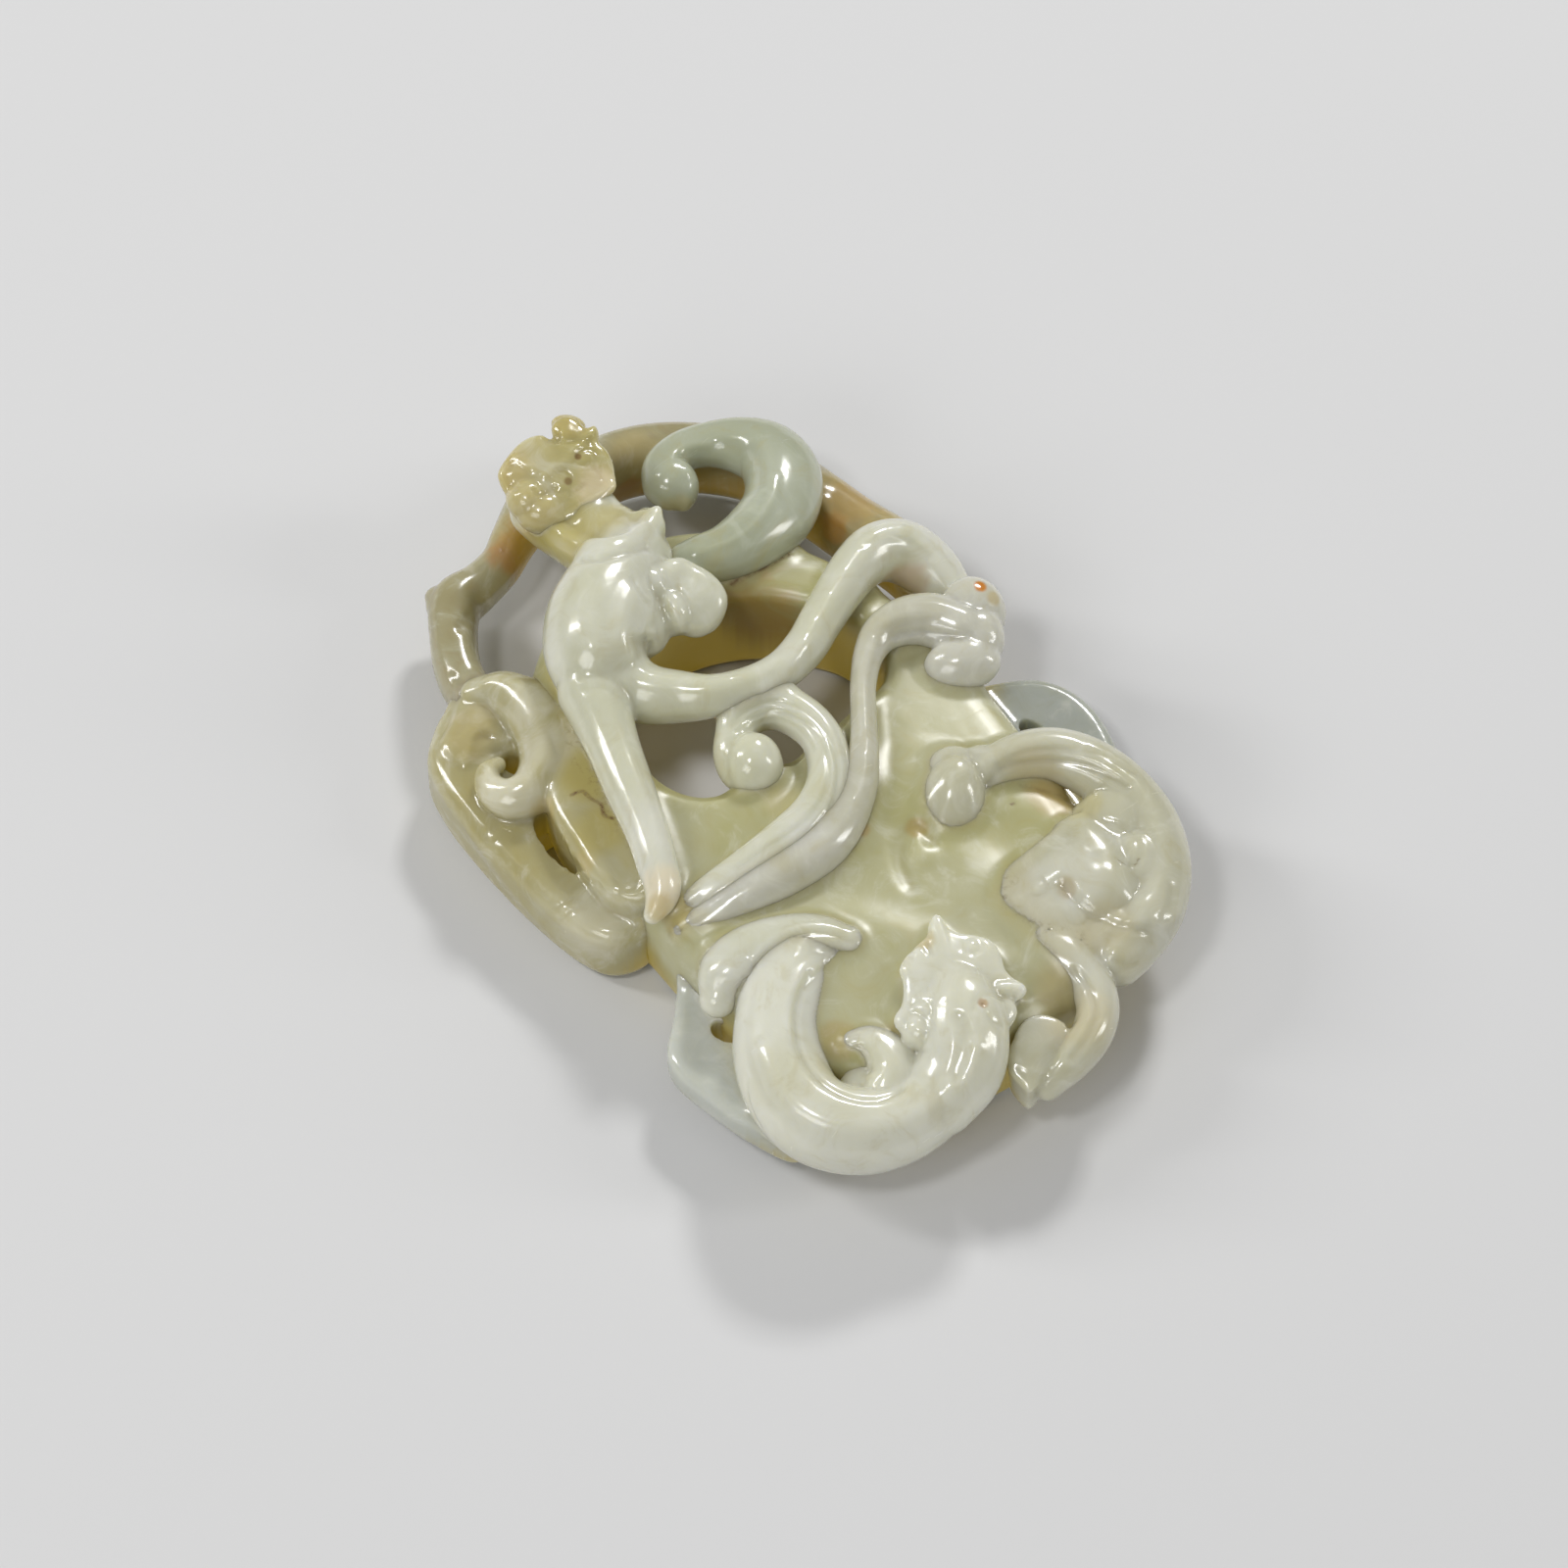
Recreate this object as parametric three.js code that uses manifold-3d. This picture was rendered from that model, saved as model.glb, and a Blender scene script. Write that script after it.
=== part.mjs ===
import * as THREE from 'three';
import { mergeVertices } from 'three/addons/utils/BufferGeometryUtils.js';
import Module from 'manifold-3d';

// A belt plaque carved and pierced from one nephrite pebble. A thick domed plate with a large bore
// carries three hornless dragons, and their manes and tails lift off it as tapered bands that cross
// the bore and pass over one another. Each carved element is a solid of its own.
// The stone lies on its flat back: X runs along it, Y across it and Z up.

const wasm = await Module();
wasm.setup();

// Driving dimensions, in millimetres
const length = 76;
const width = 50;
const plateThickness = 10;
const reliefHeight = 8;
const seam = 0.3;
const mergeDistance = 0.0001;

// The plate, its bore and the dished part of the bore's rim
const plateEdge = 3;
const plateCrown = 0.8;
const rimRound = 0.9;
const lipRound = 0.3;
const dishReach = 8;
const boreOverrun = 6;

// Widths and depths of the carved bands where each is fullest
const branchGirth = 5.4;
const branchDepth = 6.6;
const bodyGirth = 9.4;
const bodyDepth = 9.6;
const neckGirth = 7.6;
const neckDepth = 6.4;
const legGirth = 4.2;
const legDepth = 4.4;
const collarGirth = 3.2;
const collarDepth = 3;
const maneGirth = 6.4;
const maneDepth = 6.2;
const tailGirth = 3.9;
const tailDepth = 4;
const ballBandGirth = 4.6;
const ballBandDepth = 4.4;
const ballDiameter = 6.2;
const fungusBandGirth = 4;
const fungusBandDepth = 4;
const fungusLobe = 6;
const farBandGirth = 4.8;
const farBandDepth = 5.2;
const farTailGirth = 3.9;
const farTailDepth = 4.2;
const coilGirth = 7.2;
const coilDepth = 7.6;
const coilLobeGirth = 4.4;
const coilLobeDepth = 4.4;
const hookGirth = 4.4;
const hookDepth = 4.4;
const coiledNeckGirth = 6.8;
const coiledNeckDepth = 5.8;
const scrollGirth = 3.8;
const scrollDepth = 4;

// Heads and masses, by their full breadth
const climbingHeadBreadth = 10;
const farBodyBreadth = 16;
const cloudBreadth = 7.6;

// Slabs
const bracketThickness = 6.6;
const bracketRound = 1.6;
const flangeThickness = 3.4;
const flangeRise = 2;
const flangeRound = 0.8;
const footThickness = 4;
const footRound = 0.7;
const footRise = 5;
const coiledFaceThickness = 3.4;
const coiledFaceRound = 0.8;
const coiledFaceRise = 9.2;
const farFaceThickness = 5.4;
const farFaceRound = 1.3;
const farFaceRise = 6;
const slotRound = 0.5;

// The stone's polish
const polish = 0.28;

// Facets
const bandSides = 10;
const bandStep = 3.1;
const capRings = 2;
const bevelSteps = 2;
const outlineSides = 42;
const lumpSides = 10;
const lumpRows = 6;
const slabStep = 2.4;
const faceStep = 1.3;

const quarterTurn = Math.PI / 2;
const upwards = new THREE.Vector3(0, 0, 1);

// Height shares of 0 to 1 climb the plate, and those of 1 to 2 the relief above it.
function heightAt(share) {
  return share < 1 ? share * plateThickness : plateThickness + (share - 1) * reliefHeight;
}

function placeAt([along, across, up = 0]) {
  return new THREE.Vector3(along * length, across * width, heightAt(up));
}

// A closed skin over a row of rings that run counterclockwise seen from its head.
function skinOver(rings, foot, head) {
  const points = [foot, ...rings.flat(), head];
  const sides = rings[0].length;
  const headIndex = points.length - 1;
  const cornerOf = (ring, side) => 1 + ring * sides + (side % sides);
  const faces = [];
  for (let side = 0; side < sides; side++) {
    faces.push(0, cornerOf(0, side + 1), cornerOf(0, side));
    for (let ring = 0; ring < rings.length - 1; ring++) {
      const near = cornerOf(ring, side);
      const far = cornerOf(ring + 1, side + 1);
      faces.push(near, cornerOf(ring, side + 1), far);
      faces.push(near, far, cornerOf(ring + 1, side));
    }
    faces.push(headIndex, cornerOf(rings.length - 1, side), cornerOf(rings.length - 1, side + 1));
  }
  const geometry = new THREE.BufferGeometry().setFromPoints(points);
  geometry.setIndex(faces);
  return geometry;
}

function solidOf(geometry) {
  geometry.deleteAttribute('normal');
  geometry.deleteAttribute('uv');
  const merged = mergeVertices(geometry, mergeDistance);
  const mesh = new wasm.Mesh({
    numProp: 3,
    vertProperties: new Float32Array(merged.attributes.position.array),
    triVerts: new Uint32Array(merged.index.array),
  });
  return new wasm.Manifold(mesh);
}

function joinAll(solids) {
  return solids.reduce((whole, next) => whole.add(next));
}

// A carved band with an oval section, round ends and the girth that its route gives it. Each row of
// a route holds shares along, across and up, and the share of the full girth there.
function carveBand(routeShares, girth, depth, grow = 0) {
  const route = new THREE.CatmullRomCurve3(routeShares.map(placeAt), false, 'centripetal');
  const steps = Math.ceil(route.getLength() / bandStep);
  const rings = [];

  function addRing(way, lean) {
    const at = route.getUtoTmapping(way);
    const place = at * (routeShares.length - 1);
    const row = Math.min(Math.floor(place), routeShares.length - 2);
    const girthShare = THREE.MathUtils.lerp(routeShares[row][3], routeShares[row + 1][3], place - row);
    const halfGirth = girth * girthShare / 2 + grow;
    const halfDepth = depth * girthShare / 2 + grow;
    const heading = route.getTangent(at);
    const side = new THREE.Vector3().crossVectors(upwards, heading).normalize();
    const top = new THREE.Vector3().crossVectors(heading, side);
    const centre = route.getPoint(at).addScaledVector(heading, halfGirth * Math.sin(lean));
    const ring = [];
    for (let corner = 0; corner < bandSides; corner++) {
      const turn = 2 * Math.PI * corner / bandSides;
      ring.push(centre.clone()
        .addScaledVector(side, halfGirth * Math.cos(lean) * Math.cos(turn))
        .addScaledVector(top, halfDepth * Math.cos(lean) * Math.sin(turn)));
    }
    rings.push(ring);
    return centre;
  }

  const leanStep = quarterTurn / (capRings + 1);
  const foot = addRing(0, -quarterTurn);
  rings.pop();
  for (let cap = capRings; cap > 0; cap--) addRing(0, -cap * leanStep);
  for (let step = 0; step <= steps; step++) addRing(step / steps, 0);
  for (let cap = 1; cap <= capRings; cap++) addRing(1, cap * leanStep);
  const head = addRing(1, quarterTurn);
  rings.pop();
  return solidOf(skinOver(rings, foot, head));
}

// Rounded masses. Each row holds shares along, across and up, the three half breadths as shares of
// the whole breadth, and the turn as a share of half a turn.
function carveLumps(lumpShares, breadth, grow = 0) {
  return joinAll(lumpShares.map(([along, across, up, wide, deep, high, turn = 0]) => {
    const lump = new THREE.SphereGeometry(1, lumpSides, lumpRows);
    lump.rotateX(quarterTurn);
    lump.scale(breadth * wide + grow, breadth * deep + grow, breadth * high + grow);
    lump.rotateZ(turn * Math.PI);
    const centre = placeAt([along, across, up]);
    lump.translate(centre.x, centre.y, centre.z);
    return solidOf(lump);
  }));
}

// Points round a closed outline, moved outwards by a distance and lifted to a height.
function ringRound(outlineShares, outwards, height) {
  const outline = new THREE.CatmullRomCurve3(outlineShares.map(placeAt), true, 'centripetal');
  const ring = [];
  for (let side = 0; side < outlineSides; side++) {
    const at = side / outlineSides;
    const heading = outline.getTangentAt(at);
    const point = outline.getPointAt(at);
    ring.push(new THREE.Vector3(
      point.x + heading.y * outwards,
      point.y - heading.x * outwards,
      height,
    ));
  }
  return ring;
}

function middleOf(ring) {
  const middle = new THREE.Vector3();
  for (const point of ring) middle.addScaledVector(point, 1 / ring.length);
  return middle;
}

// A slab with rounded edges over an outline of shares.
function carveSlab(outlineShares, bottom, thickness, rounding, grow = 0, step = slabStep) {
  const outline = new THREE.CatmullRomCurve3(outlineShares.map(placeAt), true, 'centripetal');
  const steps = Math.ceil(outline.getLength() / step);
  const points = outline.getSpacedPoints(steps).slice(0, steps);
  const shape = new THREE.Shape(points.map((point) => new THREE.Vector2(point.x, point.y)));
  const slab = new THREE.ExtrudeGeometry(shape, {
    depth: thickness - 2 * rounding,
    bevelThickness: rounding + grow,
    bevelSize: rounding + grow,
    bevelOffset: -rounding,
    bevelSegments: bevelSteps,
  });
  slab.translate(0, 0, bottom + rounding);
  return solidOf(slab);
}

// The pierced plate: outlines and the profile of its edge
const plateShares = [
  [0.43, 0.02], [0.425, 0.15], [0.38, 0.27], [0.28, 0.34], [0.15, 0.365], [0.05, 0.375],
  [-0.05, 0.37], [-0.13, 0.352], [-0.2, 0.315], [-0.255, 0.265], [-0.305, 0.19], [-0.335, 0.1],
  [-0.338, 0], [-0.322, -0.09], [-0.292, -0.175], [-0.25, -0.245], [-0.2, -0.3], [-0.12, -0.338],
  [0, -0.348], [0.13, -0.348], [0.25, -0.335], [0.34, -0.29], [0.4, -0.19], [0.425, -0.08],
];
const boreShares = [
  [0.008, 0.03], [0.008, 0.16], [-0.008, 0.24], [-0.065, 0.267], [-0.115, 0.254], [-0.15, 0.216],
  [-0.186, 0.164], [-0.21, 0.094], [-0.218, 0.025], [-0.208, -0.045], [-0.184, -0.11],
  [-0.138, -0.164], [-0.086, -0.184], [-0.036, -0.172], [0, -0.11],
];
const edgeShares = [[-0.4, 0], [-0.1, 0.07], [0, 0.3], [0, 0.55], [-0.12, 0.78], [-0.45, 0.94], [-1, 1]];
const crownShares = [[0.62, 0.6], [0.3, 0.92]];
const dishShares = [[0.005, -0.02, 1.12, 0.9, 1.15, 0.62]];

function carvePlate(grow = 0) {
  const rings = edgeShares.map(([inset, up]) => {
    const height = up === 0 ? -grow : up === 1 ? plateThickness + grow : up * plateThickness;
    return ringRound(plateShares, inset * plateEdge + grow, height);
  });
  const brink = rings[rings.length - 1];
  const middle = middleOf(brink);
  for (const [shrink, rise] of crownShares) {
    rings.push(brink.map((point) => new THREE.Vector3(
      THREE.MathUtils.lerp(middle.x, point.x, shrink),
      THREE.MathUtils.lerp(middle.y, point.y, shrink),
      point.z + rise * plateCrown,
    )));
  }
  const summit = middle.clone().setZ(middle.z + plateCrown);
  const plate = solidOf(skinOver(rings, middleOf(rings[0]), summit));

  const boreRings = [
    ringRound(boreShares, rimRound - grow, -boreOverrun),
    ringRound(boreShares, rimRound - grow, -grow),
    ringRound(boreShares, -grow, rimRound),
    ringRound(boreShares, -grow, plateThickness - rimRound),
    ringRound(boreShares, lipRound - grow, plateThickness - lipRound),
    ringRound(boreShares, rimRound - grow, plateThickness),
    ringRound(boreShares, rimRound + rimRound - grow, plateThickness + boreOverrun),
  ];
  const bore = solidOf(skinOver(boreRings, middleOf(boreRings[0]), middleOf(boreRings[boreRings.length - 1])));
  return plate.subtract(bore).subtract(carveLumps(dishShares, dishReach, -grow));
}

// The climbing dragon
const bodyShares = [
  [-0.292, 0.002, 1.26, 0.8], [-0.264, -0.047, 1.32, 0.94], [-0.229, -0.115, 1.33, 1.03],
  [-0.189, -0.151, 1.28, 0.96], [-0.161, -0.147, 1.22, 0.64],
];
const shoulderShares = [
  [-0.208, 0.041, 1.3, 0.33, 0.3, 0.24, 0.3], [-0.243, 0.085, 1.24, 0.27, 0.19, 0.19, 0.3],
  [-0.23, 0.001, 1.3, 0.33, 0.34, 0.28, 0.3], [-0.202, -0.049, 1.26, 0.18, 0.24, 0.22, 0.3],
];
const hipShares = [
  [-0.157, -0.194, 1.25, 0.32, 0.3, 0.3, 0],
];
const neckShares = [
  [-0.435, -0.019, 0.92, 0.92], [-0.403, -0.019, 1.02, 0.96], [-0.363, -0.012, 1.14, 1],
  [-0.324, -0.004, 1.24, 1.02],
];
const climbingHeadShares = [
  [-0.432, -0.002, 1.44, 0.38, 0.42, 0.37, 0], [-0.395, -0.006, 1.52, 0.36, 0.4, 0.32, 0],
  [-0.374, -0.008, 1.48, 0.22, 0.38, 0.26, 0], [-0.405, 0.028, 1.74, 0.16, 0.15, 0.12, 0],
  [-0.396, -0.04, 1.74, 0.16, 0.15, 0.12, 0], [-0.455, 0.066, 1.48, 0.18, 0.12, 0.13, 0.25],
  [-0.468, 0.048, 1.4, 0.13, 0.14, 0.14, 0], [-0.434, -0.078, 1.46, 0.17, 0.15, 0.15, -0.1],
  [-0.458, -0.03, 1.22, 0.16, 0.28, 0.28, 0],
];
const collarShares = [
  [-0.358, -0.061, 1.1, 0.8], [-0.318, -0.05, 1.4, 1], [-0.302, -0.011, 1.48, 1.04],
  [-0.3, 0.028, 1.48, 1.08], [-0.31, 0.063, 1.42, 1.14],
];
const forelegShares = [
  [-0.16, -0.195, 1.22, 1], [-0.12, -0.222, 1.2, 1], [-0.07, -0.24, 1.18, 0.96],
  [-0.02, -0.256, 1.16, 0.96], [0.025, -0.272, 1.14, 1.1], [0.06, -0.292, 1.1, 1.36],
  [0.078, -0.312, 1.04, 0.9],
];
const maneShares = [
  [-0.232, 0.085, 1.22, 0.9], [-0.24, 0.13, 1.16, 1], [-0.246, 0.18, 1.1, 1], [-0.254, 0.235, 1.04, 1],
  [-0.272, 0.286, 0.98, 1], [-0.304, 0.325, 0.94, 1.02], [-0.345, 0.337, 0.9, 0.98], [-0.384, 0.315, 0.86, 0.88],
  [-0.409, 0.272, 0.82, 0.8], [-0.406, 0.225, 0.84, 0.76],
];
const maneLobeShares = [
  [-0.374, 0.2, 0.94, 0.44, 0.4, 0.36, -0.1], [-0.396, 0.198, 0.86, 0.4, 0.4, 0.38, 0],
];
const longTailShares = [
  [-0.15, -0.112, 1.22, 1.2], [-0.118, -0.086, 1.26, 1.06], [-0.086, -0.045, 1.3, 0.94],
  [-0.074, 0.014, 1.3, 0.84], [-0.07, 0.074, 1.3, 0.86], [-0.081, 0.134, 1.28, 0.92],
  [-0.105, 0.198, 1.24, 0.96], [-0.129, 0.262, 1.19, 1.02], [-0.147, 0.316, 1.13, 1.1],
  [-0.154, 0.366, 1.06, 1.18], [-0.146, 0.408, 0.96, 1.14], [-0.118, 0.432, 0.86, 1],
];

// The forked bands beyond the bore
const ballBandShares = [
  [0.092, -0.29, 0.9, 0.8], [0.104, -0.224, 1.08, 0.94], [0.108, -0.144, 1.14, 1], [0.107, -0.074, 1.15, 1],
  [0.093, -0.006, 1.15, 1], [0.063, 0.044, 1.15, 1], [0.024, 0.072, 1.14, 1], [-0.015, 0.066, 1.13, 1],
  [-0.037, 0.034, 1.12, 0.96], [-0.038, -0.008, 1.1, 0.92], [-0.026, -0.04, 1.07, 1],
];
const ballShares = [[-0.004, -0.052, 1.06, 0.5, 0.5, 0.46, 0]];
const fungusBandShares = [
  [0.128, -0.3, 0.94, 0.5], [0.134, -0.22, 1.06, 0.74], [0.14, -0.144, 1.12, 0.88],
  [0.138, -0.064, 1.14, 0.9], [0.125, -0.006, 1.16, 0.84], [0.097, 0.056, 1.17, 0.78],
  [0.062, 0.102, 1.18, 0.72], [0.026, 0.14, 1.18, 0.7], [-0.01, 0.178, 1.18, 0.74],
  [-0.04, 0.222, 1.18, 0.8], [-0.056, 0.265, 1.17, 0.9], [-0.056, 0.311, 1.15, 1.04],
  [-0.042, 0.352, 1.12, 1.16], [-0.014, 0.38, 1.1, 1.2], [0.016, 0.368, 1.08, 1.2],
  [0.026, 0.336, 1.08, 1.2],
];
const fungusLobeShares = [
  [-0.04, 0.44, 1.0, 0.5, 0.4, 0.4, 0], [-0.008, 0.425, 0.98, 0.45, 0.4, 0.4, 0.1],
  [0.031, 0.338, 1.06, 0.46, 0.44, 0.42, 0],
];
const cloudShares = [
  [0.168, 0.155, 0.98, 0.5, 0.42, 0.3, 0.1], [0.14, 0.185, 0.98, 0.42, 0.3, 0.26, 0.3],
];

// The dragon at the far end
const farBandShares = [
  [0.148, 0.214, 1.0, 0.7], [0.152, 0.26, 1.02, 0.84], [0.157, 0.31, 1.04, 0.9], [0.174, 0.36, 1.02, 0.94],
  [0.205, 0.396, 0.98, 1], [0.246, 0.416, 0.92, 1.06], [0.298, 0.412, 0.86, 1.14], [0.344, 0.382, 0.82, 1.14],
  [0.38, 0.328, 0.8, 1.12], [0.4, 0.272, 0.8, 1.06], [0.408, 0.226, 0.8, 1],
];
const farBodyShares = [
  [0.325, 0.355, 0.9, 0.5, 0.3, 0.26, -0.1], [0.375, 0.215, 0.86, 0.3, 0.26, 0.26, 0],
];
const farFaceShares = [
  [0.249, 0.326], [0.259, 0.345], [0.283, 0.366], [0.315, 0.381], [0.353, 0.369], [0.388, 0.328],
  [0.407, 0.274], [0.413, 0.216], [0.409, 0.162], [0.392, 0.131], [0.373, 0.111], [0.355, 0.098],
  [0.332, 0.094], [0.311, 0.095], [0.291, 0.105], [0.275, 0.127], [0.266, 0.156], [0.262, 0.19],
  [0.258, 0.228], [0.254, 0.262], [0.249, 0.299],
];
const farTailShares = [
  [0.37, 0.18, 0.84, 0.9], [0.402, 0.17, 0.8, 1], [0.436, 0.15, 0.76, 1], [0.462, 0.108, 0.74, 1],
  [0.473, 0.055, 0.73, 1], [0.475, 0.005, 0.72, 0.96], [0.474, -0.03, 0.72, 0.86],
];
const footShares = [
  [0.428, 0.045], [0.44, 0.07], [0.458, 0.066], [0.47, 0.02], [0.485, -0.026], [0.49, -0.05],
  [0.472, -0.058], [0.45, -0.052], [0.438, -0.015],
];

// The coiled dragon at the near end
const coilShares = [
  [0.404, -0.055, 0.94, 0.72], [0.425, -0.105, 0.84, 0.8], [0.437, -0.17, 0.76, 0.84],
  [0.436, -0.238, 0.7, 0.88], [0.418, -0.3, 0.7, 0.96], [0.38, -0.344, 0.72, 1],
  [0.33, -0.346, 0.76, 1], [0.282, -0.312, 0.8, 0.98], [0.249, -0.26, 0.86, 0.9],
  [0.232, -0.205, 0.92, 0.72], [0.234, -0.155, 0.98, 0.46],
];
const coilLobeShares = [
  [0.242, -0.13, 1.02, 0.7], [0.217, -0.166, 1.0, 0.9], [0.199, -0.222, 0.96, 1], [0.19, -0.278, 0.9, 1.06],
  [0.194, -0.32, 0.84, 1], [0.206, -0.345, 0.8, 0.7],
];
const hookShares = [
  [0.41, -0.241, 0.7, 1], [0.401, -0.208, 0.78, 1.1], [0.384, -0.19, 0.86, 1],
  [0.363, -0.198, 0.92, 0.74], [0.346, -0.213, 0.94, 0.5],
];
const coiledFaceShares = [
  [0.274, 0.009], [0.283, 0.014], [0.296, 0.011], [0.309, 0.019], [0.32, 0.035], [0.333, 0.05],
  [0.346, 0.052], [0.36, 0.046], [0.373, 0.038], [0.386, 0.037], [0.4, 0.044], [0.409, 0.042],
  [0.412, 0.03], [0.412, 0.015], [0.424, 0.006], [0.432, -0.011], [0.435, -0.028], [0.43, -0.041],
  [0.434, -0.065], [0.429, -0.095], [0.414, -0.12], [0.407, -0.147], [0.398, -0.16], [0.382, -0.166],
  [0.365, -0.17], [0.355, -0.163], [0.346, -0.138], [0.323, -0.11], [0.31, -0.103], [0.302, -0.087],
  [0.295, -0.054], [0.293, -0.03], [0.281, -0.013],
];
const coiledNeckShares = [
  [0.346, -0.036, 1.04, 0.8], [0.383, -0.059, 1.08, 0.98], [0.413, -0.084, 1.04, 1.02],
  [0.431, -0.115, 0.92, 1.04], [0.438, -0.164, 0.8, 1],
];

// The bracket, the branch and the flanges
const bracketShares = [
  [0.082, -0.34], [0.082, -0.39], [0.07, -0.422], [0.044, -0.442], [0.006, -0.455], [-0.06, -0.466],
  [-0.13, -0.47], [-0.2, -0.467], [-0.248, -0.45], [-0.273, -0.416], [-0.29, -0.38], [-0.298, -0.335],
  [-0.286, -0.285], [-0.25, -0.25], [-0.2, -0.25], [-0.13, -0.28], [-0.05, -0.3], [0.03, -0.31],
];
const scrollShares = [
  [-0.29, -0.31, 0.72, 0.8], [-0.255, -0.288, 0.78, 1], [-0.212, -0.285, 0.82, 1], [-0.172, -0.298, 0.82, 1],
  [-0.142, -0.33, 0.8, 0.98], [-0.13, -0.368, 0.78, 0.94], [-0.144, -0.4, 0.76, 0.8],
  [-0.172, -0.412, 0.74, 0.56],
];
const slotShares = [[-0.108, -0.3], [-0.022, -0.3], [-0.022, -0.382], [-0.108, -0.38]];
const scrollBowlShares = [[-0.2, -0.34, 0.98, 1.25, 0.9, 1.25, 0.1]];
const scrollEyeShares = [[-0.181, -0.338, 0.2, 0.42, 0.3, 2.2, 0.1]];
const branchShares = [
  [-0.262, -0.35, 0.5, 0.7], [-0.31, -0.325, 0.5, 0.8], [-0.35, -0.296, 0.5, 0.86], [-0.381, -0.262, 0.5, 0.96],
  [-0.394, -0.222, 0.5, 0.96], [-0.4, -0.182, 0.5, 0.84], [-0.414, -0.134, 0.5, 0.74], [-0.435, -0.086, 0.5, 0.76],
  [-0.455, -0.03, 0.5, 0.9], [-0.468, 0.035, 0.52, 1], [-0.472, 0.105, 0.5, 1], [-0.467, 0.168, 0.5, 1],
  [-0.453, 0.23, 0.48, 1], [-0.426, 0.292, 0.46, 1], [-0.388, 0.346, 0.46, 1], [-0.34, 0.38, 0.46, 1],
  [-0.29, 0.397, 0.48, 1], [-0.24, 0.412, 0.5, 1], [-0.19, 0.434, 0.52, 1], [-0.14, 0.452, 0.54, 1],
  [-0.095, 0.448, 0.56, 0.96], [-0.05, 0.42, 0.6, 0.9],
];
const knobShares = [[-0.412, -0.262, 0.5, 0.36, 0.3, 0.4, 0.15]];
const upperFlangeShares = [
  [0.018, 0.38], [0.024, 0.425], [0.045, 0.48], [0.075, 0.51], [0.11, 0.52], [0.15, 0.512],
  [0.19, 0.49], [0.23, 0.45], [0.2, 0.33], [0.1, 0.33],
];
const lowerFlangeShares = [
  [0.13, -0.33], [0.145, -0.36], [0.175, -0.4], [0.208, -0.448], [0.232, -0.458], [0.29, -0.442],
  [0.335, -0.422], [0.385, -0.378], [0.35, -0.3], [0.2, -0.3],
];
const flangeEyeShares = [
  [[0.1, 0.405, 0.4, 0.2, 0.12, 1, 0.02]],
  [[0.226, -0.35, 0.4, 0.2, 0.12, 1, 0.1]],
];

function carveBracket(grow = 0) {
  const slab = carveSlab(bracketShares, 0, bracketThickness, bracketRound, grow);
  const ridge = carveBand(scrollShares, scrollGirth, scrollDepth, grow);
  const slot = carveSlab(slotShares, -boreOverrun, plateThickness + boreOverrun + boreOverrun, slotRound, -grow);
  const bowl = carveLumps(scrollBowlShares, scrollGirth, -grow);
  const eye = carveLumps(scrollEyeShares, scrollGirth, -grow);
  return slab.subtract(bowl).subtract(eye).add(ridge).subtract(slot);
}

function carveFlange(outlineShares, eyeShares, grow = 0) {
  const slab = carveSlab(outlineShares, flangeRise, flangeThickness, flangeRound, grow);
  return slab.subtract(carveLumps(eyeShares, coilGirth, -grow));
}

// Colours of the stone: celadon, honey towards the climbing head, russet skin, pale thin edges
const celadon = 0xc9ccb0;
const honey = 0xcdbd86;
const russet = 0xb9935c;
const paleEdge = 0xd3d8cf;

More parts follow.
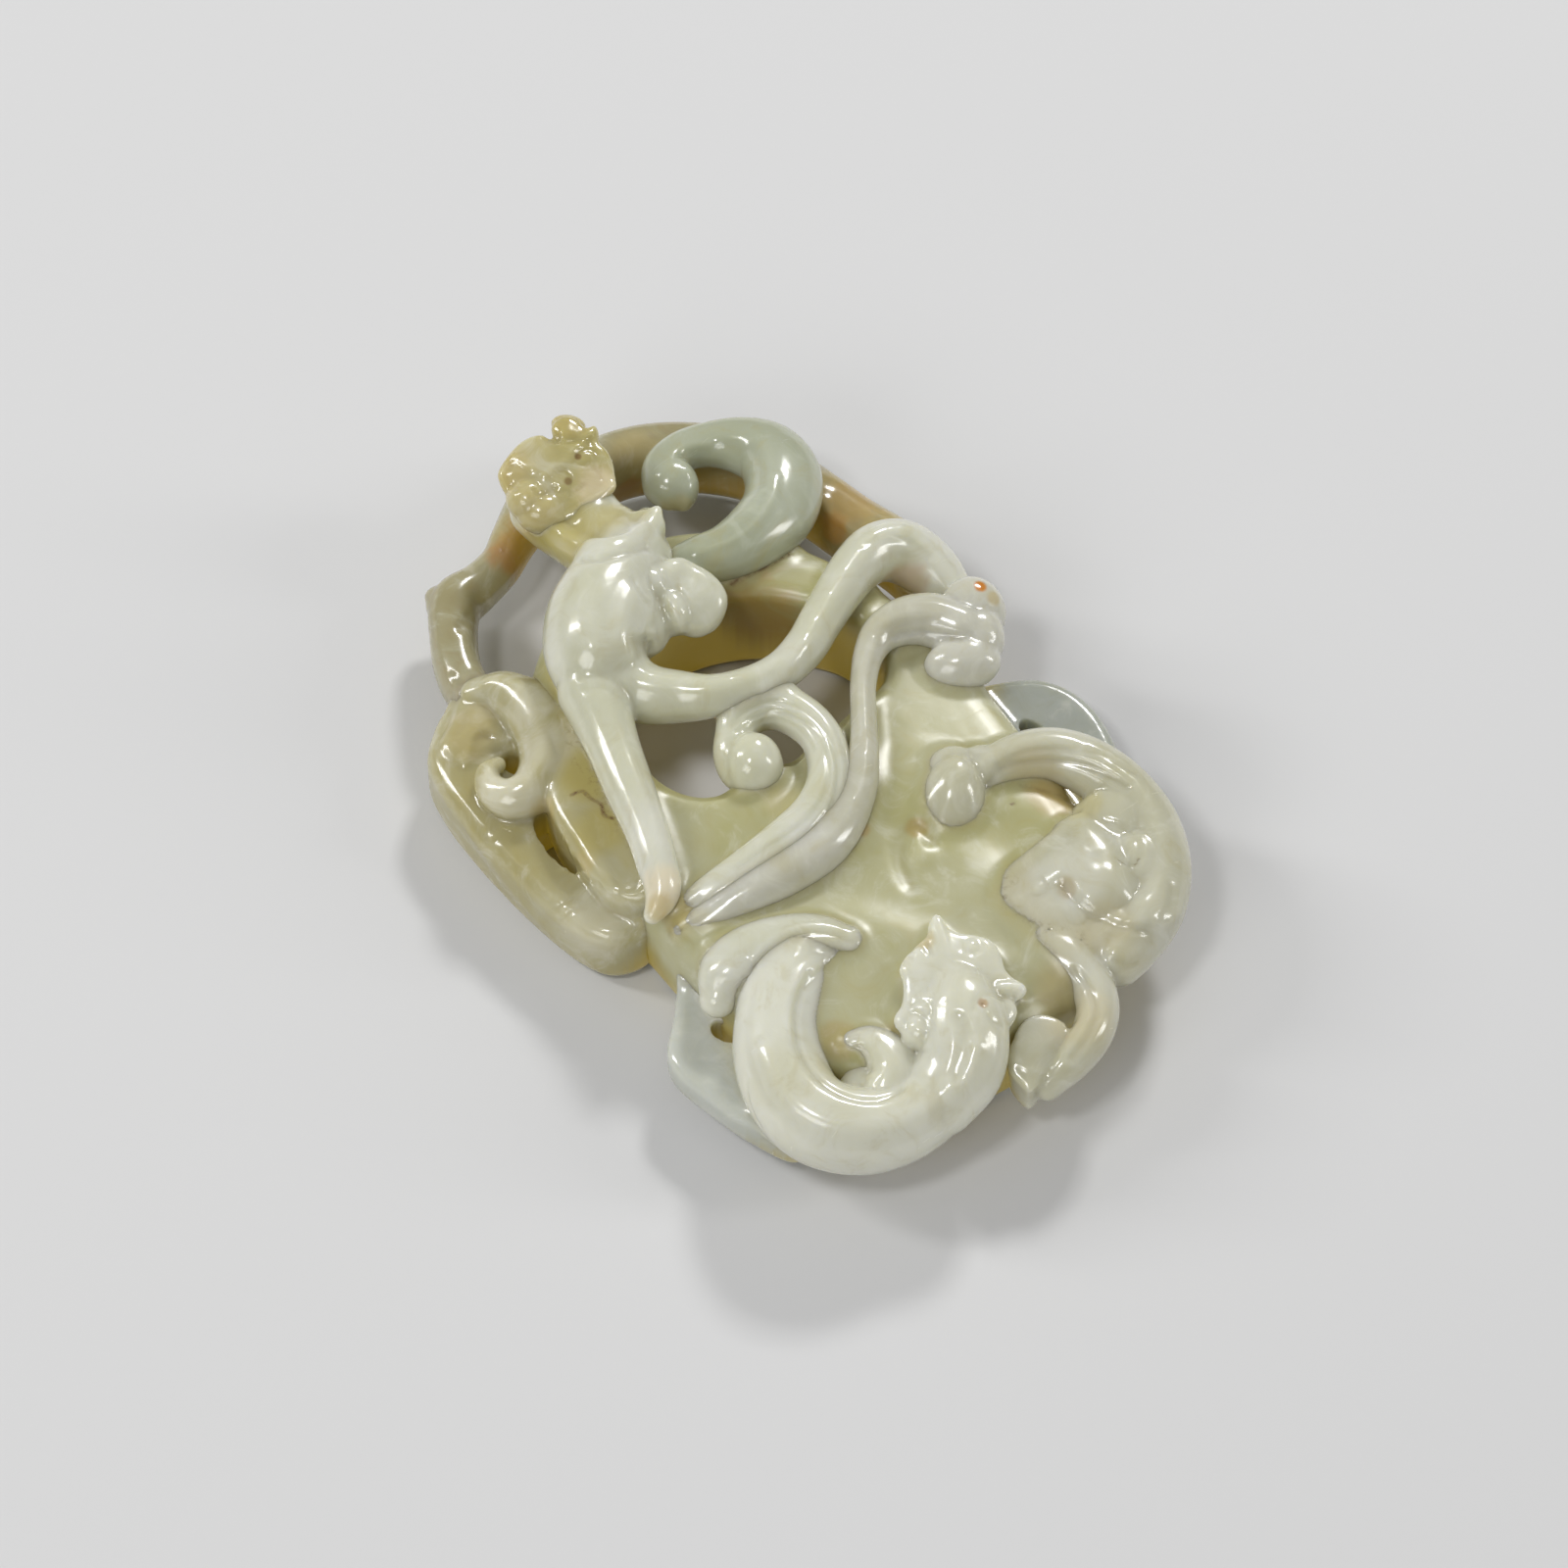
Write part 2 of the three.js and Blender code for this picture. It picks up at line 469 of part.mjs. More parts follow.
// Every carved element, the senior ones first: each gives way to those before it.
const elements = [
  ['pierced_plate', celadon, carvePlate],
  ['climbing_dragon_body', celadon, (grow) => joinAll([
    carveBand(bodyShares, bodyGirth, bodyDepth, grow),
    carveLumps(shoulderShares, bodyGirth, grow),
    carveLumps(hipShares, bodyGirth, grow),
    carveBand(collarShares, collarGirth, collarDepth, grow),
  ])],
  ['climbing_dragon_head', honey, (grow) => joinAll([
    carveBand(neckShares, neckGirth, neckDepth, grow),
    carveLumps(climbingHeadShares, climbingHeadBreadth, grow),
  ])],
  ['climbing_dragon_foreleg', celadon, (grow) => carveBand(forelegShares, legGirth, legDepth, grow)],
  ['long_s_tail', celadon, (grow) => carveBand(longTailShares, tailGirth, tailDepth, grow)],
  ['mane_curl', celadon, (grow) => joinAll([
    carveBand(maneShares, maneGirth, maneDepth, grow),
    carveLumps(maneLobeShares, maneGirth, grow),
  ])],
  ['ball_curl', celadon, (grow) => joinAll([
    carveBand(ballBandShares, ballBandGirth, ballBandDepth, grow),
    carveLumps(ballShares, ballDiameter, grow),
  ])],
  ['fungus_scroll', celadon, (grow) => joinAll([
    carveBand(fungusBandShares, fungusBandGirth, fungusBandDepth, grow),
    carveLumps(fungusLobeShares, fungusLobe, grow),
  ])],
  ['coiled_dragon_head', celadon, (grow) => joinAll([
    carveSlab(coiledFaceShares, coiledFaceRise, coiledFaceThickness, coiledFaceRound, grow, faceStep),
    carveBand(coiledNeckShares, coiledNeckGirth, coiledNeckDepth, grow),
  ])],
  ['coiled_dragon_body', celadon, (grow) => carveBand(coilShares, coilGirth, coilDepth, grow)],
  ['coil_hook', celadon, (grow) => carveBand(hookShares, hookGirth, hookDepth, grow)],
  ['coil_lobe', celadon, (grow) => carveBand(coilLobeShares, coilLobeGirth, coilLobeDepth, grow)],
  ['far_dragon_head', celadon, (grow) => (
    carveSlab(farFaceShares, farFaceRise, farFaceThickness, farFaceRound, grow, slabStep)
  )],
  ['far_dragon_body', celadon, (grow) => joinAll([
    carveBand(farBandShares, farBandGirth, farBandDepth, grow),
    carveLumps(farBodyShares, farBodyBreadth, grow),
  ])],
  ['far_dragon_tail', celadon, (grow) => joinAll([
    carveBand(farTailShares, farTailGirth, farTailDepth, grow),
    carveSlab(footShares, footRise, footThickness, footRound, grow),
  ])],
  ['cloud_lobe', celadon, (grow) => carveLumps(cloudShares, cloudBreadth, grow)],
  ['scroll_bracket', celadon, carveBracket],
  ['outer_branch', russet, (grow) => joinAll([
    carveBand(branchShares, branchGirth, branchDepth, grow),
    carveLumps(knobShares, branchGirth, grow),
  ])],
  ['upper_side_flange', paleEdge, (grow) => carveFlange(upperFlangeShares, flangeEyeShares[0], grow)],
  ['lower_side_flange', paleEdge, (grow) => carveFlange(lowerFlangeShares, flangeEyeShares[1], grow)],
];

function largestOf(solid) {
  return solid.decompose().reduce((most, next) => (next.volume() > most.volume() ? next : most));
}

function geometryOf(solid) {
  const mesh = solid.getMesh();
  const geometry = new THREE.BufferGeometry();
  geometry.setAttribute('position', new THREE.BufferAttribute(new Float32Array(mesh.vertProperties), 3));
  geometry.setIndex(Array.from(mesh.triVerts));
  return geometry;
}

const plaque = new THREE.Group();
plaque.name = 'jade_belt_plaque';
const seniors = [];
for (const [name, colour, carve] of elements) {
  let solid = carve(0).trimByPlane(upwards.toArray(), 0);
  for (const senior of seniors) solid = solid.subtract(senior);
  solid = largestOf(solid);
  seniors.push(carve(seam));
  const stone = new THREE.MeshStandardMaterial({ color: colour, roughness: polish, metalness: 0 });
  const mesh = new THREE.Mesh(geometryOf(solid), stone);
  mesh.name = name;
  plaque.add(mesh);
}

// The origin is the middle of the stone's outer bounds, on its back.
const bounds = new THREE.Box3().setFromObject(plaque);
const middle = bounds.getCenter(new THREE.Vector3());
plaque.position.set(-middle.x, -middle.y, 0);

export default plaque;
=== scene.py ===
import math

import bmesh
import bpy
import numpy as np
from mathutils import Matrix, Vector
from mathutils.bvhtree import BVHTree


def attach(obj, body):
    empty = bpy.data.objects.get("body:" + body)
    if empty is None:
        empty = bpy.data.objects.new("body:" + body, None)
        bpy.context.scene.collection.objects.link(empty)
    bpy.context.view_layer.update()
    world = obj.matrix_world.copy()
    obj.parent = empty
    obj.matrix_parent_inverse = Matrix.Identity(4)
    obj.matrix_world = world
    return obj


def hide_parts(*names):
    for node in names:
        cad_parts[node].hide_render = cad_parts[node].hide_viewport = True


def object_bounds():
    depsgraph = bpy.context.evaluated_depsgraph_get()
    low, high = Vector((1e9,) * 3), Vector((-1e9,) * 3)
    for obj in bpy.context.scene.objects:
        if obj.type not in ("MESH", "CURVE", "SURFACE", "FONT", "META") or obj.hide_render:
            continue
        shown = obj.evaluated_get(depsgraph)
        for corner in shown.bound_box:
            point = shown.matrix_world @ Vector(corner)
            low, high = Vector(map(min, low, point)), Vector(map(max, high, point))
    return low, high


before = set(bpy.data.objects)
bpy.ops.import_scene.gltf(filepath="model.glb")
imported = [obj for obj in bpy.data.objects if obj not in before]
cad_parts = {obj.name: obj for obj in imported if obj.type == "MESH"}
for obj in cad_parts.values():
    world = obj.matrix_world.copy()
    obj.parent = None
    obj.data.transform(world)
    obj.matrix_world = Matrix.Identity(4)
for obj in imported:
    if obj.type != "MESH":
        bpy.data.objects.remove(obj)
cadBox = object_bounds()
print("frame read:", len(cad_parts), "carved elements")

millimetre = 0.001
skyward = Vector((0, 0, 1))

# The stone's measures, and how far it reaches from the middle of its plate
stone = {
    "length": 0.076,
    "width": 0.050,
    "plateThickness": 0.010,
    "reliefHeight": 0.008,
    "leftReachShare": 0.507,
    "nearReachShare": 0.470,
}
plateMiddle = Vector((
    cadBox[0].x + stone["leftReachShare"] * stone["length"],
    cadBox[0].y + stone["nearReachShare"] * stone["width"],
    0,
))


# Height shares of 0 to 1 climb the plate, and those of 1 to 2 the relief above it
def heightAt(share):
    if share < 1:
        return share * stone["plateThickness"]
    return stone["plateThickness"] + (share - 1) * stone["reliefHeight"]


# A place told by shares of the stone's length and width from the middle of its plate
def placeAt(along, across, up=0):
    flat = Vector((along * stone["length"], across * stone["width"], heightAt(up)))
    return flat + plateMiddle


# The way from the stone's middle to a place round it, by azimuth and elevation in degrees
def wayTo(azimuth, elevation):
    turn = math.radians(azimuth)
    rise = math.radians(elevation)
    return Vector((math.sin(turn) * math.cos(rise), -math.cos(turn) * math.cos(rise), math.sin(rise)))


# The camera stands where the photographer stood
eye = {
    "azimuth": 54.6,
    "elevation": 55.0,
    "distance": 0.52,
    "lens": 142.7,
    "sensor": 36.0,
    "photoWidth": 1600,
    "lookAtShares": (-0.0395, 0.05),
}
lookAt = placeAt(*eye["lookAtShares"])
backward = wayTo(eye["azimuth"], eye["elevation"])
eyePoint = lookAt + eye["distance"] * backward
eyeTurn = (-backward).to_track_quat("-Z", "Y")
cameraData = bpy.data.cameras.new("studioCamera")
cameraData.lens = eye["lens"]
cameraData.sensor_width = eye["sensor"]
camera = bpy.data.objects.new("studioCamera", cameraData)
camera.location = eyePoint
camera.rotation_euler = eyeTurn.to_euler()
bpy.context.scene.collection.objects.link(camera)
bpy.context.scene.camera = camera


# The ray through a pixel of the photograph
def sightLine(pixelAcross, pixelDown):
    focal = eye["lens"] / eye["sensor"] * eye["photoWidth"]
    half = eye["photoWidth"] / 2
    return (eyeTurn @ Vector((pixelAcross - half, half - pixelDown, -focal))).normalized()


# The place seen at a pixel of the photograph, if it lies at a height share
def seenAt(pixelAcross, pixelDown, up):
    sight = sightLine(pixelAcross, pixelDown)
    return eyePoint + sight * ((heightAt(up) - eyePoint.z) / sight.z)


# Clay: rough forms that a voxel remesh fuses into one skin
craft = {
    "bandStep": 0.09,  # along a band, as a share of its girth
    "bandSides": 24,
    "endRings": 5,
    "keelSlope": 1.6,
    "ballSides": 28,
    "ballRings": 18,
    "outlineStep": 0.8,  # along an outline, in millimetres
    "tabletStep": 0.3,
    "crownRings": (0.85, 0.65, 0.4, 0.15),
    "blockEdgeRings": 3,
}
# A rounded edge from its side to its top: how far in and how far down, as shares of its radius
roundedEdge = [(1 - math.cos(tilt), 1 - math.sin(tilt)) for tilt in np.linspace(0, math.pi / 2, 5)]


# A smooth curve through rows of numbers, the first three of which are a place
def curveThrough(rows, step, closed=False):
    knots = np.array(rows, float)
    if closed:
        knots = np.vstack([knots[-1:], knots, knots[:2]])
    else:
        knots = np.vstack([2 * knots[0] - knots[1], knots, 2 * knots[-1] - knots[-2]])
    found = []
    for before, start, end, after in zip(knots, knots[1:], knots[2:], knots[3:]):
        sections = ((before, start), (start, end), (end, after))
        gaps = [np.linalg.norm((b - a)[:3]) ** 0.5 for a, b in sections]
        first, middle, last = (max(gap, 1e-6) for gap in gaps)
        leave = (start - before) / first - (end - before) / (first + middle) + (end - start) / middle
        arrive = (end - start) / middle - (after - start) / (middle + last) + (after - end) / last
        leave, arrive = leave * middle, arrive * middle
        steps = max(1, math.ceil(np.linalg.norm((end - start)[:3]) / step))
        for at in np.arange(steps) / steps:
            found.append(
                start + leave * at + (3 * (end - start) - 2 * leave - arrive) * at**2
                + (2 * (start - end) + leave + arrive) * at**3
            )
    if not closed:
        found.append(knots[-2])
    return np.array(found)


# The edges between the points of a ring, in an order that is the same in every run
def ringEdges(ring):
    inRing = set(ring)
    edges = [edge for vert in ring for edge in vert.link_edges if inRing.issuperset(edge.verts)]
    return list(dict.fromkeys(edges))


# Rings of points bridged into one closed skin, with flat ends
def skinRings(clay, rings):
    loops = []
    for ring in rings:
        verts = bmesh.ops.create_circle(clay, segments=len(ring), radius=1)["verts"]
        for vert, point in zip(verts, ring):
            vert.co = point
        loops.append(ringEdges(verts))
    for near, far in zip(loops, loops[1:]):
        bmesh.ops.bridge_loops(clay, edges=near + far)
    for brink in (loops[0], loops[-1]):
        bmesh.ops.edgeloop_fill(clay, edges=brink)


# Adds one lump of clay to another
def pour(clay, part):
    holder = bpy.data.meshes.new("pour")
    part.to_mesh(holder)
    clay.from_mesh(holder)
    bpy.data.meshes.remove(holder)
    part.free()


# A band along its route, with round ends. A row is a place and a share of the girth, and the rows of
# a lead and of a seen route are told by pixels of the photograph. A keel lifts the middle of the top
# into a soft ridge, and a lean moves that ridge to one side. Below 1, square fills out the corners
# and ends flattens the ends.
def addBand(clay, band):
    girth = band["girth"]
    depth = band["depth"]
    sides = band.get("sides", craft["bandSides"])
    keel = band.get("keel", 0)
    lean = band.get("lean", 0)
    square = band.get("square", 1)
    ends = band.get("ends", 1)
    rows = []
    for rowKind, find in (("lead", seenAt), ("route", placeAt), ("seen", seenAt)):
        rows += [(*find(*where), share) for *where, share in band.get(rowKind, [])]
    line = curveThrough(rows, girth * craft["bandStep"])
    headings = np.gradient(line[:, :3], axis=0)
    rings = []

    def addRing(row, heading, tilt):
        heading = Vector(heading).normalized()
        side = skyward.cross(heading).normalized()
        top = heading.cross(side)
        share = row[3]
        centre = Vector(row[:3]) + heading * (ends * girth * share / 2 * math.sin(tilt))
        ring = []
        for corner in range(sides):
            turn = 2 * math.pi * corner / sides
            wide, high = math.cos(turn), math.sin(turn)
            wide = math.copysign(abs(wide) ** square, wide)
            high = math.copysign(abs(high) ** square, high)
            if high > 0:
                high += keel * max(0, 1 - abs(wide - lean) * craft["keelSlope"])
            ring.append(
                centre + side * (girth * share / 2 * math.cos(tilt) * wide)
                + top * (depth * share / 2 * math.cos(tilt) * high)
            )
        rings.append(ring)

    tilts = [math.pi / 2 * (cap + 0.8) / craft["endRings"] for cap in range(craft["endRings"])]
    for tilt in reversed(tilts):
        addRing(line[0], headings[0], -tilt)
    for row, heading in zip(line, headings):
        addRing(row, heading, 0)
    for tilt in tilts:
        addRing(line[-1], headings[-1], tilt)
    strip = bmesh.new()
    skinRings(strip, rings)
    pour(clay, strip)


def addBall(clay, radius, matrix):
    bmesh.ops.create_uvsphere(
        clay, u_segments=craft["ballSides"], v_segments=craft["ballRings"], radius=radius, matrix=matrix)


# A frame that faces the camera, over a pixel of the photograph and at a height share
def facing(across, down, up, turn):
    spin = Matrix.Rotation(math.pi * turn, 4, "Z")
    return Matrix.Translation(seenAt(across, down, up)) @ eyeTurn.to_matrix().to_4x4() @ spin


# Rounded masses that face the camera: pixel, height share, half breadths in millimetres across the
# view, up it and towards the camera, then a turn in the view
def addMasses(clay, masses):
    for across, down, up, wide, tall, deep, turn in masses:
        size = Matrix.Diagonal((wide, tall, deep, 1))
        addBall(clay, millimetre, facing(across, down, up, turn) @ size)


# Blocks that face the camera, told like the masses, with rounded edges
def addBlocks(clay, blocks):
    for across, down, up, wide, tall, deep, turn, rounding in blocks:
        block = bmesh.new()
        size = Matrix.Diagonal((wide, tall, deep, 1))
        bmesh.ops.create_cube(block, size=2 * millimetre, matrix=size)
        bmesh.ops.bevel(
            block, geom=block.edges[:], offset=rounding * millimetre, segments=craft["blockEdgeRings"],
            profile=0.5, affect="EDGES", material=-1,
        )
        bmesh.ops.transform(block, matrix=facing(across, down, up, turn), verts=block.verts)
        pour(clay, block)


# A tablet: an outline of pixels on a plane that leans from facing the camera, at 0, to lying flat,
# at 1, with a rounded and crowned front. Its middle is a pixel and a height share. The other
# measures are millimetres: its depth, the taper of its back, its rounding and its crown.
def addTablet(clay, tablet):
    middle = seenAt(*tablet["middle"])
    axis = backward.lerp(skyward, tablet["lean"]).normalized()
    rows = []
    for across, down in tablet["outline"]:
        sight = sightLine(across, down)
        rows.append(eyePoint + sight * ((middle - eyePoint).dot(axis) / sight.dot(axis)))
    line = curveThrough(rows, craft["tabletStep"] * millimetre, closed=True)
    centre = line.mean(0)
    axis = np.array(axis)
    heading = np.roll(line, -1, axis=0) - np.roll(line, 1, axis=0)
    outward = np.cross(heading / np.linalg.norm(heading, axis=1)[:, None], axis)
    if ((line - centre) * outward).sum() < 0:
        outward = -outward
    rings = []

    def addRing(inset, lift, shrink=1):
        moved = centre + (line - outward * inset * millimetre - centre) * shrink + axis * lift * millimetre
        rings.append([Vector(point) for point in moved])

    rounding = tablet["rounding"]
    addRing(tablet["taper"], -tablet["deep"])
    for inset, drop in roundedEdge:
        addRing(rounding * inset, -rounding * drop)
    for shrink in craft["crownRings"]:
        addRing(rounding, tablet["crown"] * (1 - shrink**2), shrink)
    body = bmesh.new()
    skinRings(body, rings)
    pour(clay, body)


# Points round a closed outline, moved outwards and set at a height
def ringRound(outline, outwards, height):
    rows = [placeAt(along, across) for along, across in outline]
    line = curveThrough(rows, craft["outlineStep"] * millimetre, closed=True)
    ahead = np.roll(line, -1, axis=0)
    heading = ahead - np.roll(line, 1, axis=0)
    heading /= np.linalg.norm(heading, axis=1)[:, None]
    area = (line[:, 0] * ahead[:, 1] - ahead[:, 0] * line[:, 1]).sum()
    outwards *= math.copysign(1, area)
    moved = line.copy()
    moved[:, 0] += heading[:, 1] * outwards
    moved[:, 1] -= heading[:, 0] * outwards
    moved[:, 2] = height
    return [Vector(point) for point in moved]


# A slab over an outline, with rounded edges
def slabOf(outline, bottom, thickness, rounding):
    top = bottom + thickness
    rings = [ringRound(outline, -rounding * drop, bottom + rounding * inset) for inset, drop in roundedEdge]
    rings += [ringRound(outline, -rounding * inset, top - rounding * drop) for inset, drop in roundedEdge]
    slab = bmesh.new()
    skinRings(slab, rings)
    return slab


# Lays a piece's clay: its named bands, its masses and blocks, then its named tablets
def layClay(made, bands=(), tablets=(), clay=None):
    if clay is None:
        clay = bmesh.new()
    for name in bands:
        addBand(clay, made[name])
    addMasses(clay, made.get("masses", []))
    addBlocks(clay, made.get("blocks", []))
    for name in tablets:
        addTablet(clay, made[name])
    return clay


def meshOf(clay, name):
    bmesh.ops.recalc_face_normals(clay, faces=clay.faces)
    mesh = bpy.data.meshes.new(name)
    clay.to_mesh(mesh)
    clay.free()
    piece = bpy.data.objects.new(name, mesh)
    bpy.context.scene.collection.objects.link(piece)
    return piece


# A rounded cutter: its place in shares, its half breadths as shares of a breadth, then its turn
def roundCutter(name, lump, breadth):
    along, across, up, wide, deep, high, turn = lump
    spin = Matrix.Rotation(math.pi * turn, 4, "Z")
    size = Matrix.Diagonal((wide, deep, high, 1))
    cutter = bmesh.new()
    addBall(cutter, breadth, Matrix.Translation(placeAt(along, across, up)) @ spin @ size)
    return meshOf(cutter, name)


def applyModifiers(piece):
    evaluated = piece.evaluated_get(bpy.context.evaluated_depsgraph_get())
    finished = bpy.data.meshes.new_from_object(evaluated)
    piece.modifiers.clear()
    piece.data = finished


# One skin over all the clay of a piece, smoothed as the polishing wheel would
def fuse(piece, grain, polish, cutters=()):
    for cutter in cutters:
        cut = piece.modifiers.new("cut", "BOOLEAN")
        cut.object = cutter
        cut.operation = "DIFFERENCE"
        cut.solver = "EXACT"
        cut.use_self = True
    skin = piece.modifiers.new("skin", "REMESH")
    skin.mode = "VOXEL"
    skin.voxel_size = grain * millimetre
    soften = piece.modifiers.new("soften", "SMOOTH")
    soften.factor = 0.5
    soften.iterations = polish
    applyModifiers(piece)
    for cutter in cutters:
        bpy.data.objects.remove(cutter)


# A slab fused by itself, so that what is cut from it or laid on it next meets a clean skin
def fusedSlab(slab, grain, cutters=()):
    base = meshOf(slab, "slab")
    fuse(base, grain, 0, cutters)
    clay = bmesh.new()
    clay.from_mesh(base.data)
    bpy.data.objects.remove(base)
    return clay


# Carving: strokes seen from the camera, cut into or raised from the skin
carving = {
    "pathStep": 0.12,  # along a stroke, in millimetres
    "dropOff": 2,  # a point this many millimetres nearer or farther than its neighbours is left out
    "missLift": 14,  # how far short of the middle the piece is sought where a sight line misses it
    "fall": {"groove": 1.6, "ridge": 2, "dab": 2, "step": 1.5},  # how fast each kind fades sideways
    "stepReach": 2,
    "stepSlope": 0.3,
    "dirtBreadth": 0.75,
    "softenings": 3,
    "softenShare": 0.5,
}


def readSkin(piece):
    mesh = piece.data
    places = np.empty(len(mesh.vertices) * 3)
    normals = np.empty(len(mesh.vertices) * 3)
    mesh.vertices.foreach_get("co", places)
    mesh.vertex_normals.foreach_get("vector", normals)
    return places.reshape(-1, 3), normals.reshape(-1, 3)


def writeSkin(piece, places):
    piece.data.vertices.foreach_set("co", places.ravel())
    piece.data.update()


def setAttribute(piece, name, values):
    held = piece.data.attributes.new(name, "FLOAT", "POINT")
    held.data.foreach_set("value", np.asarray(values, np.float32))


def treeOf(piece):
    return BVHTree.FromObject(piece, bpy.context.evaluated_depsgraph_get())


# The places that lie in a box or within reach of it
def indexInBox(places, low, high, reach):
    return np.flatnonzero(np.all((places > low - reach) & (places < high + reach), axis=1))


# Points of the stone seen at pixels of the photograph, joined by a smooth curve. A point that drops
# off the form that its neighbours lie on is left out.
def strokePath(tree, pixels):
    found = []
    for across, down in pixels:
        sight = sightLine(across, down)
        point = tree.ray_cast(eyePoint, sight)[0]
        if point is None:
            away = eye["distance"] - carving["missLift"] * millimetre
            point = tree.find_nearest(eyePoint + sight * away)[0]
        found.append(point)
    depths = [(eyePoint - point).length for point in found]
    kept = []
    for index, point in enumerate(found):
        beside = depths[max(0, index - 1):index] + depths[index + 1:index + 2]
        drop = min((abs(depths[index] - other) for other in beside), default=0)
        if drop < carving["dropOff"] * millimetre:
            kept.append(point)
    if len(kept) < 2:
        return np.array([kept[0] if kept else found[0]])
    return curveThrough(kept, carving["pathStep"] * millimetre)


# Draws each value a share of the way to the mean of its neighbours on the skin, a number of times
def spread(mesh, values, times, share):
    edges = np.empty(len(mesh.edges) * 2, int)
    mesh.edges.foreach_get("vertices", edges)
    near, far = edges.reshape(-1, 2).T
    size = len(values)
    count = np.maximum(np.bincount(near, minlength=size) + np.bincount(far, minlength=size), 1)
    for _ in range(times):
        total = np.bincount(near, values[far], size) + np.bincount(far, values[near], size)
        values = (1 - share) * values + share * (total / count)
    return values


# Each stroke: kind, width and height in millimetres, dirt, pixels
def carve(piece, strokes):
    tree = treeOf(piece)
    places, normals = readSkin(piece)
    lift = np.zeros(len(places))
    dirt = np.zeros(len(places))
    for kind, width, height, soil, *pixels in strokes:
        path = strokePath(tree, pixels)
        width *= millimetre
        height *= millimetre
        reach = width * (carving["stepReach"] if kind == "step" else 1)
        index = indexInBox(places, path.min(0), path.max(0), reach)
        if not len(index):
            print("a stroke missed:", piece.name, kind, pixels[:2])
            continue
        gaps = np.linalg.norm(places[index, None] - path[None], axis=2)
        nearest = gaps.argmin(1)
        gap = gaps[np.arange(len(index)), nearest]
        rise = height * np.clip(1 - (gap / reach) ** 2, 0, 1) ** carving["fall"][kind]
        if kind == "groove":
            rise = -rise
        elif kind == "step":
            along = np.gradient(path, axis=0)[nearest]
            sideways = np.cross(along, normals[index])
            sideways /= np.linalg.norm(sideways, axis=1)[:, None] + 1e-12
            offset = ((places[index] - path[nearest]) * sideways).sum(1)
            rise *= np.tanh(offset / (width * carving["stepSlope"]))
        lift[index] += rise
        soiled = soil * np.clip(1 - gap / (carving["dirtBreadth"] * width), 0, 1)
        dirt[index] = np.maximum(dirt[index], soiled)
    lift = spread(piece.data, lift, carving["softenings"], carving["softenShare"])
    writeSkin(piece, places + normals * lift[:, None])
    setAttribute(piece, "dirt", dirt)


# The carved elements, each with what a user would change. Grain is the size of the remesh's cells in
# millimetres, and polish the number of rounds of smoothing.
finishedPieces = []


# Fuses a piece's clay, carves it and gives it its place in the frame
def finishPiece(clay, name, made, replaced, cutters=()):
    piece = meshOf(clay, "jade_" + name)
    fuse(piece, made["grain"], made["polish"], cutters)
    carve(piece, made["strokes"])
    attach(piece, "root")
    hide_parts(*replaced)
    finishedPieces.append(piece)
    print("carved", name, len(piece.data.polygons), "faces")


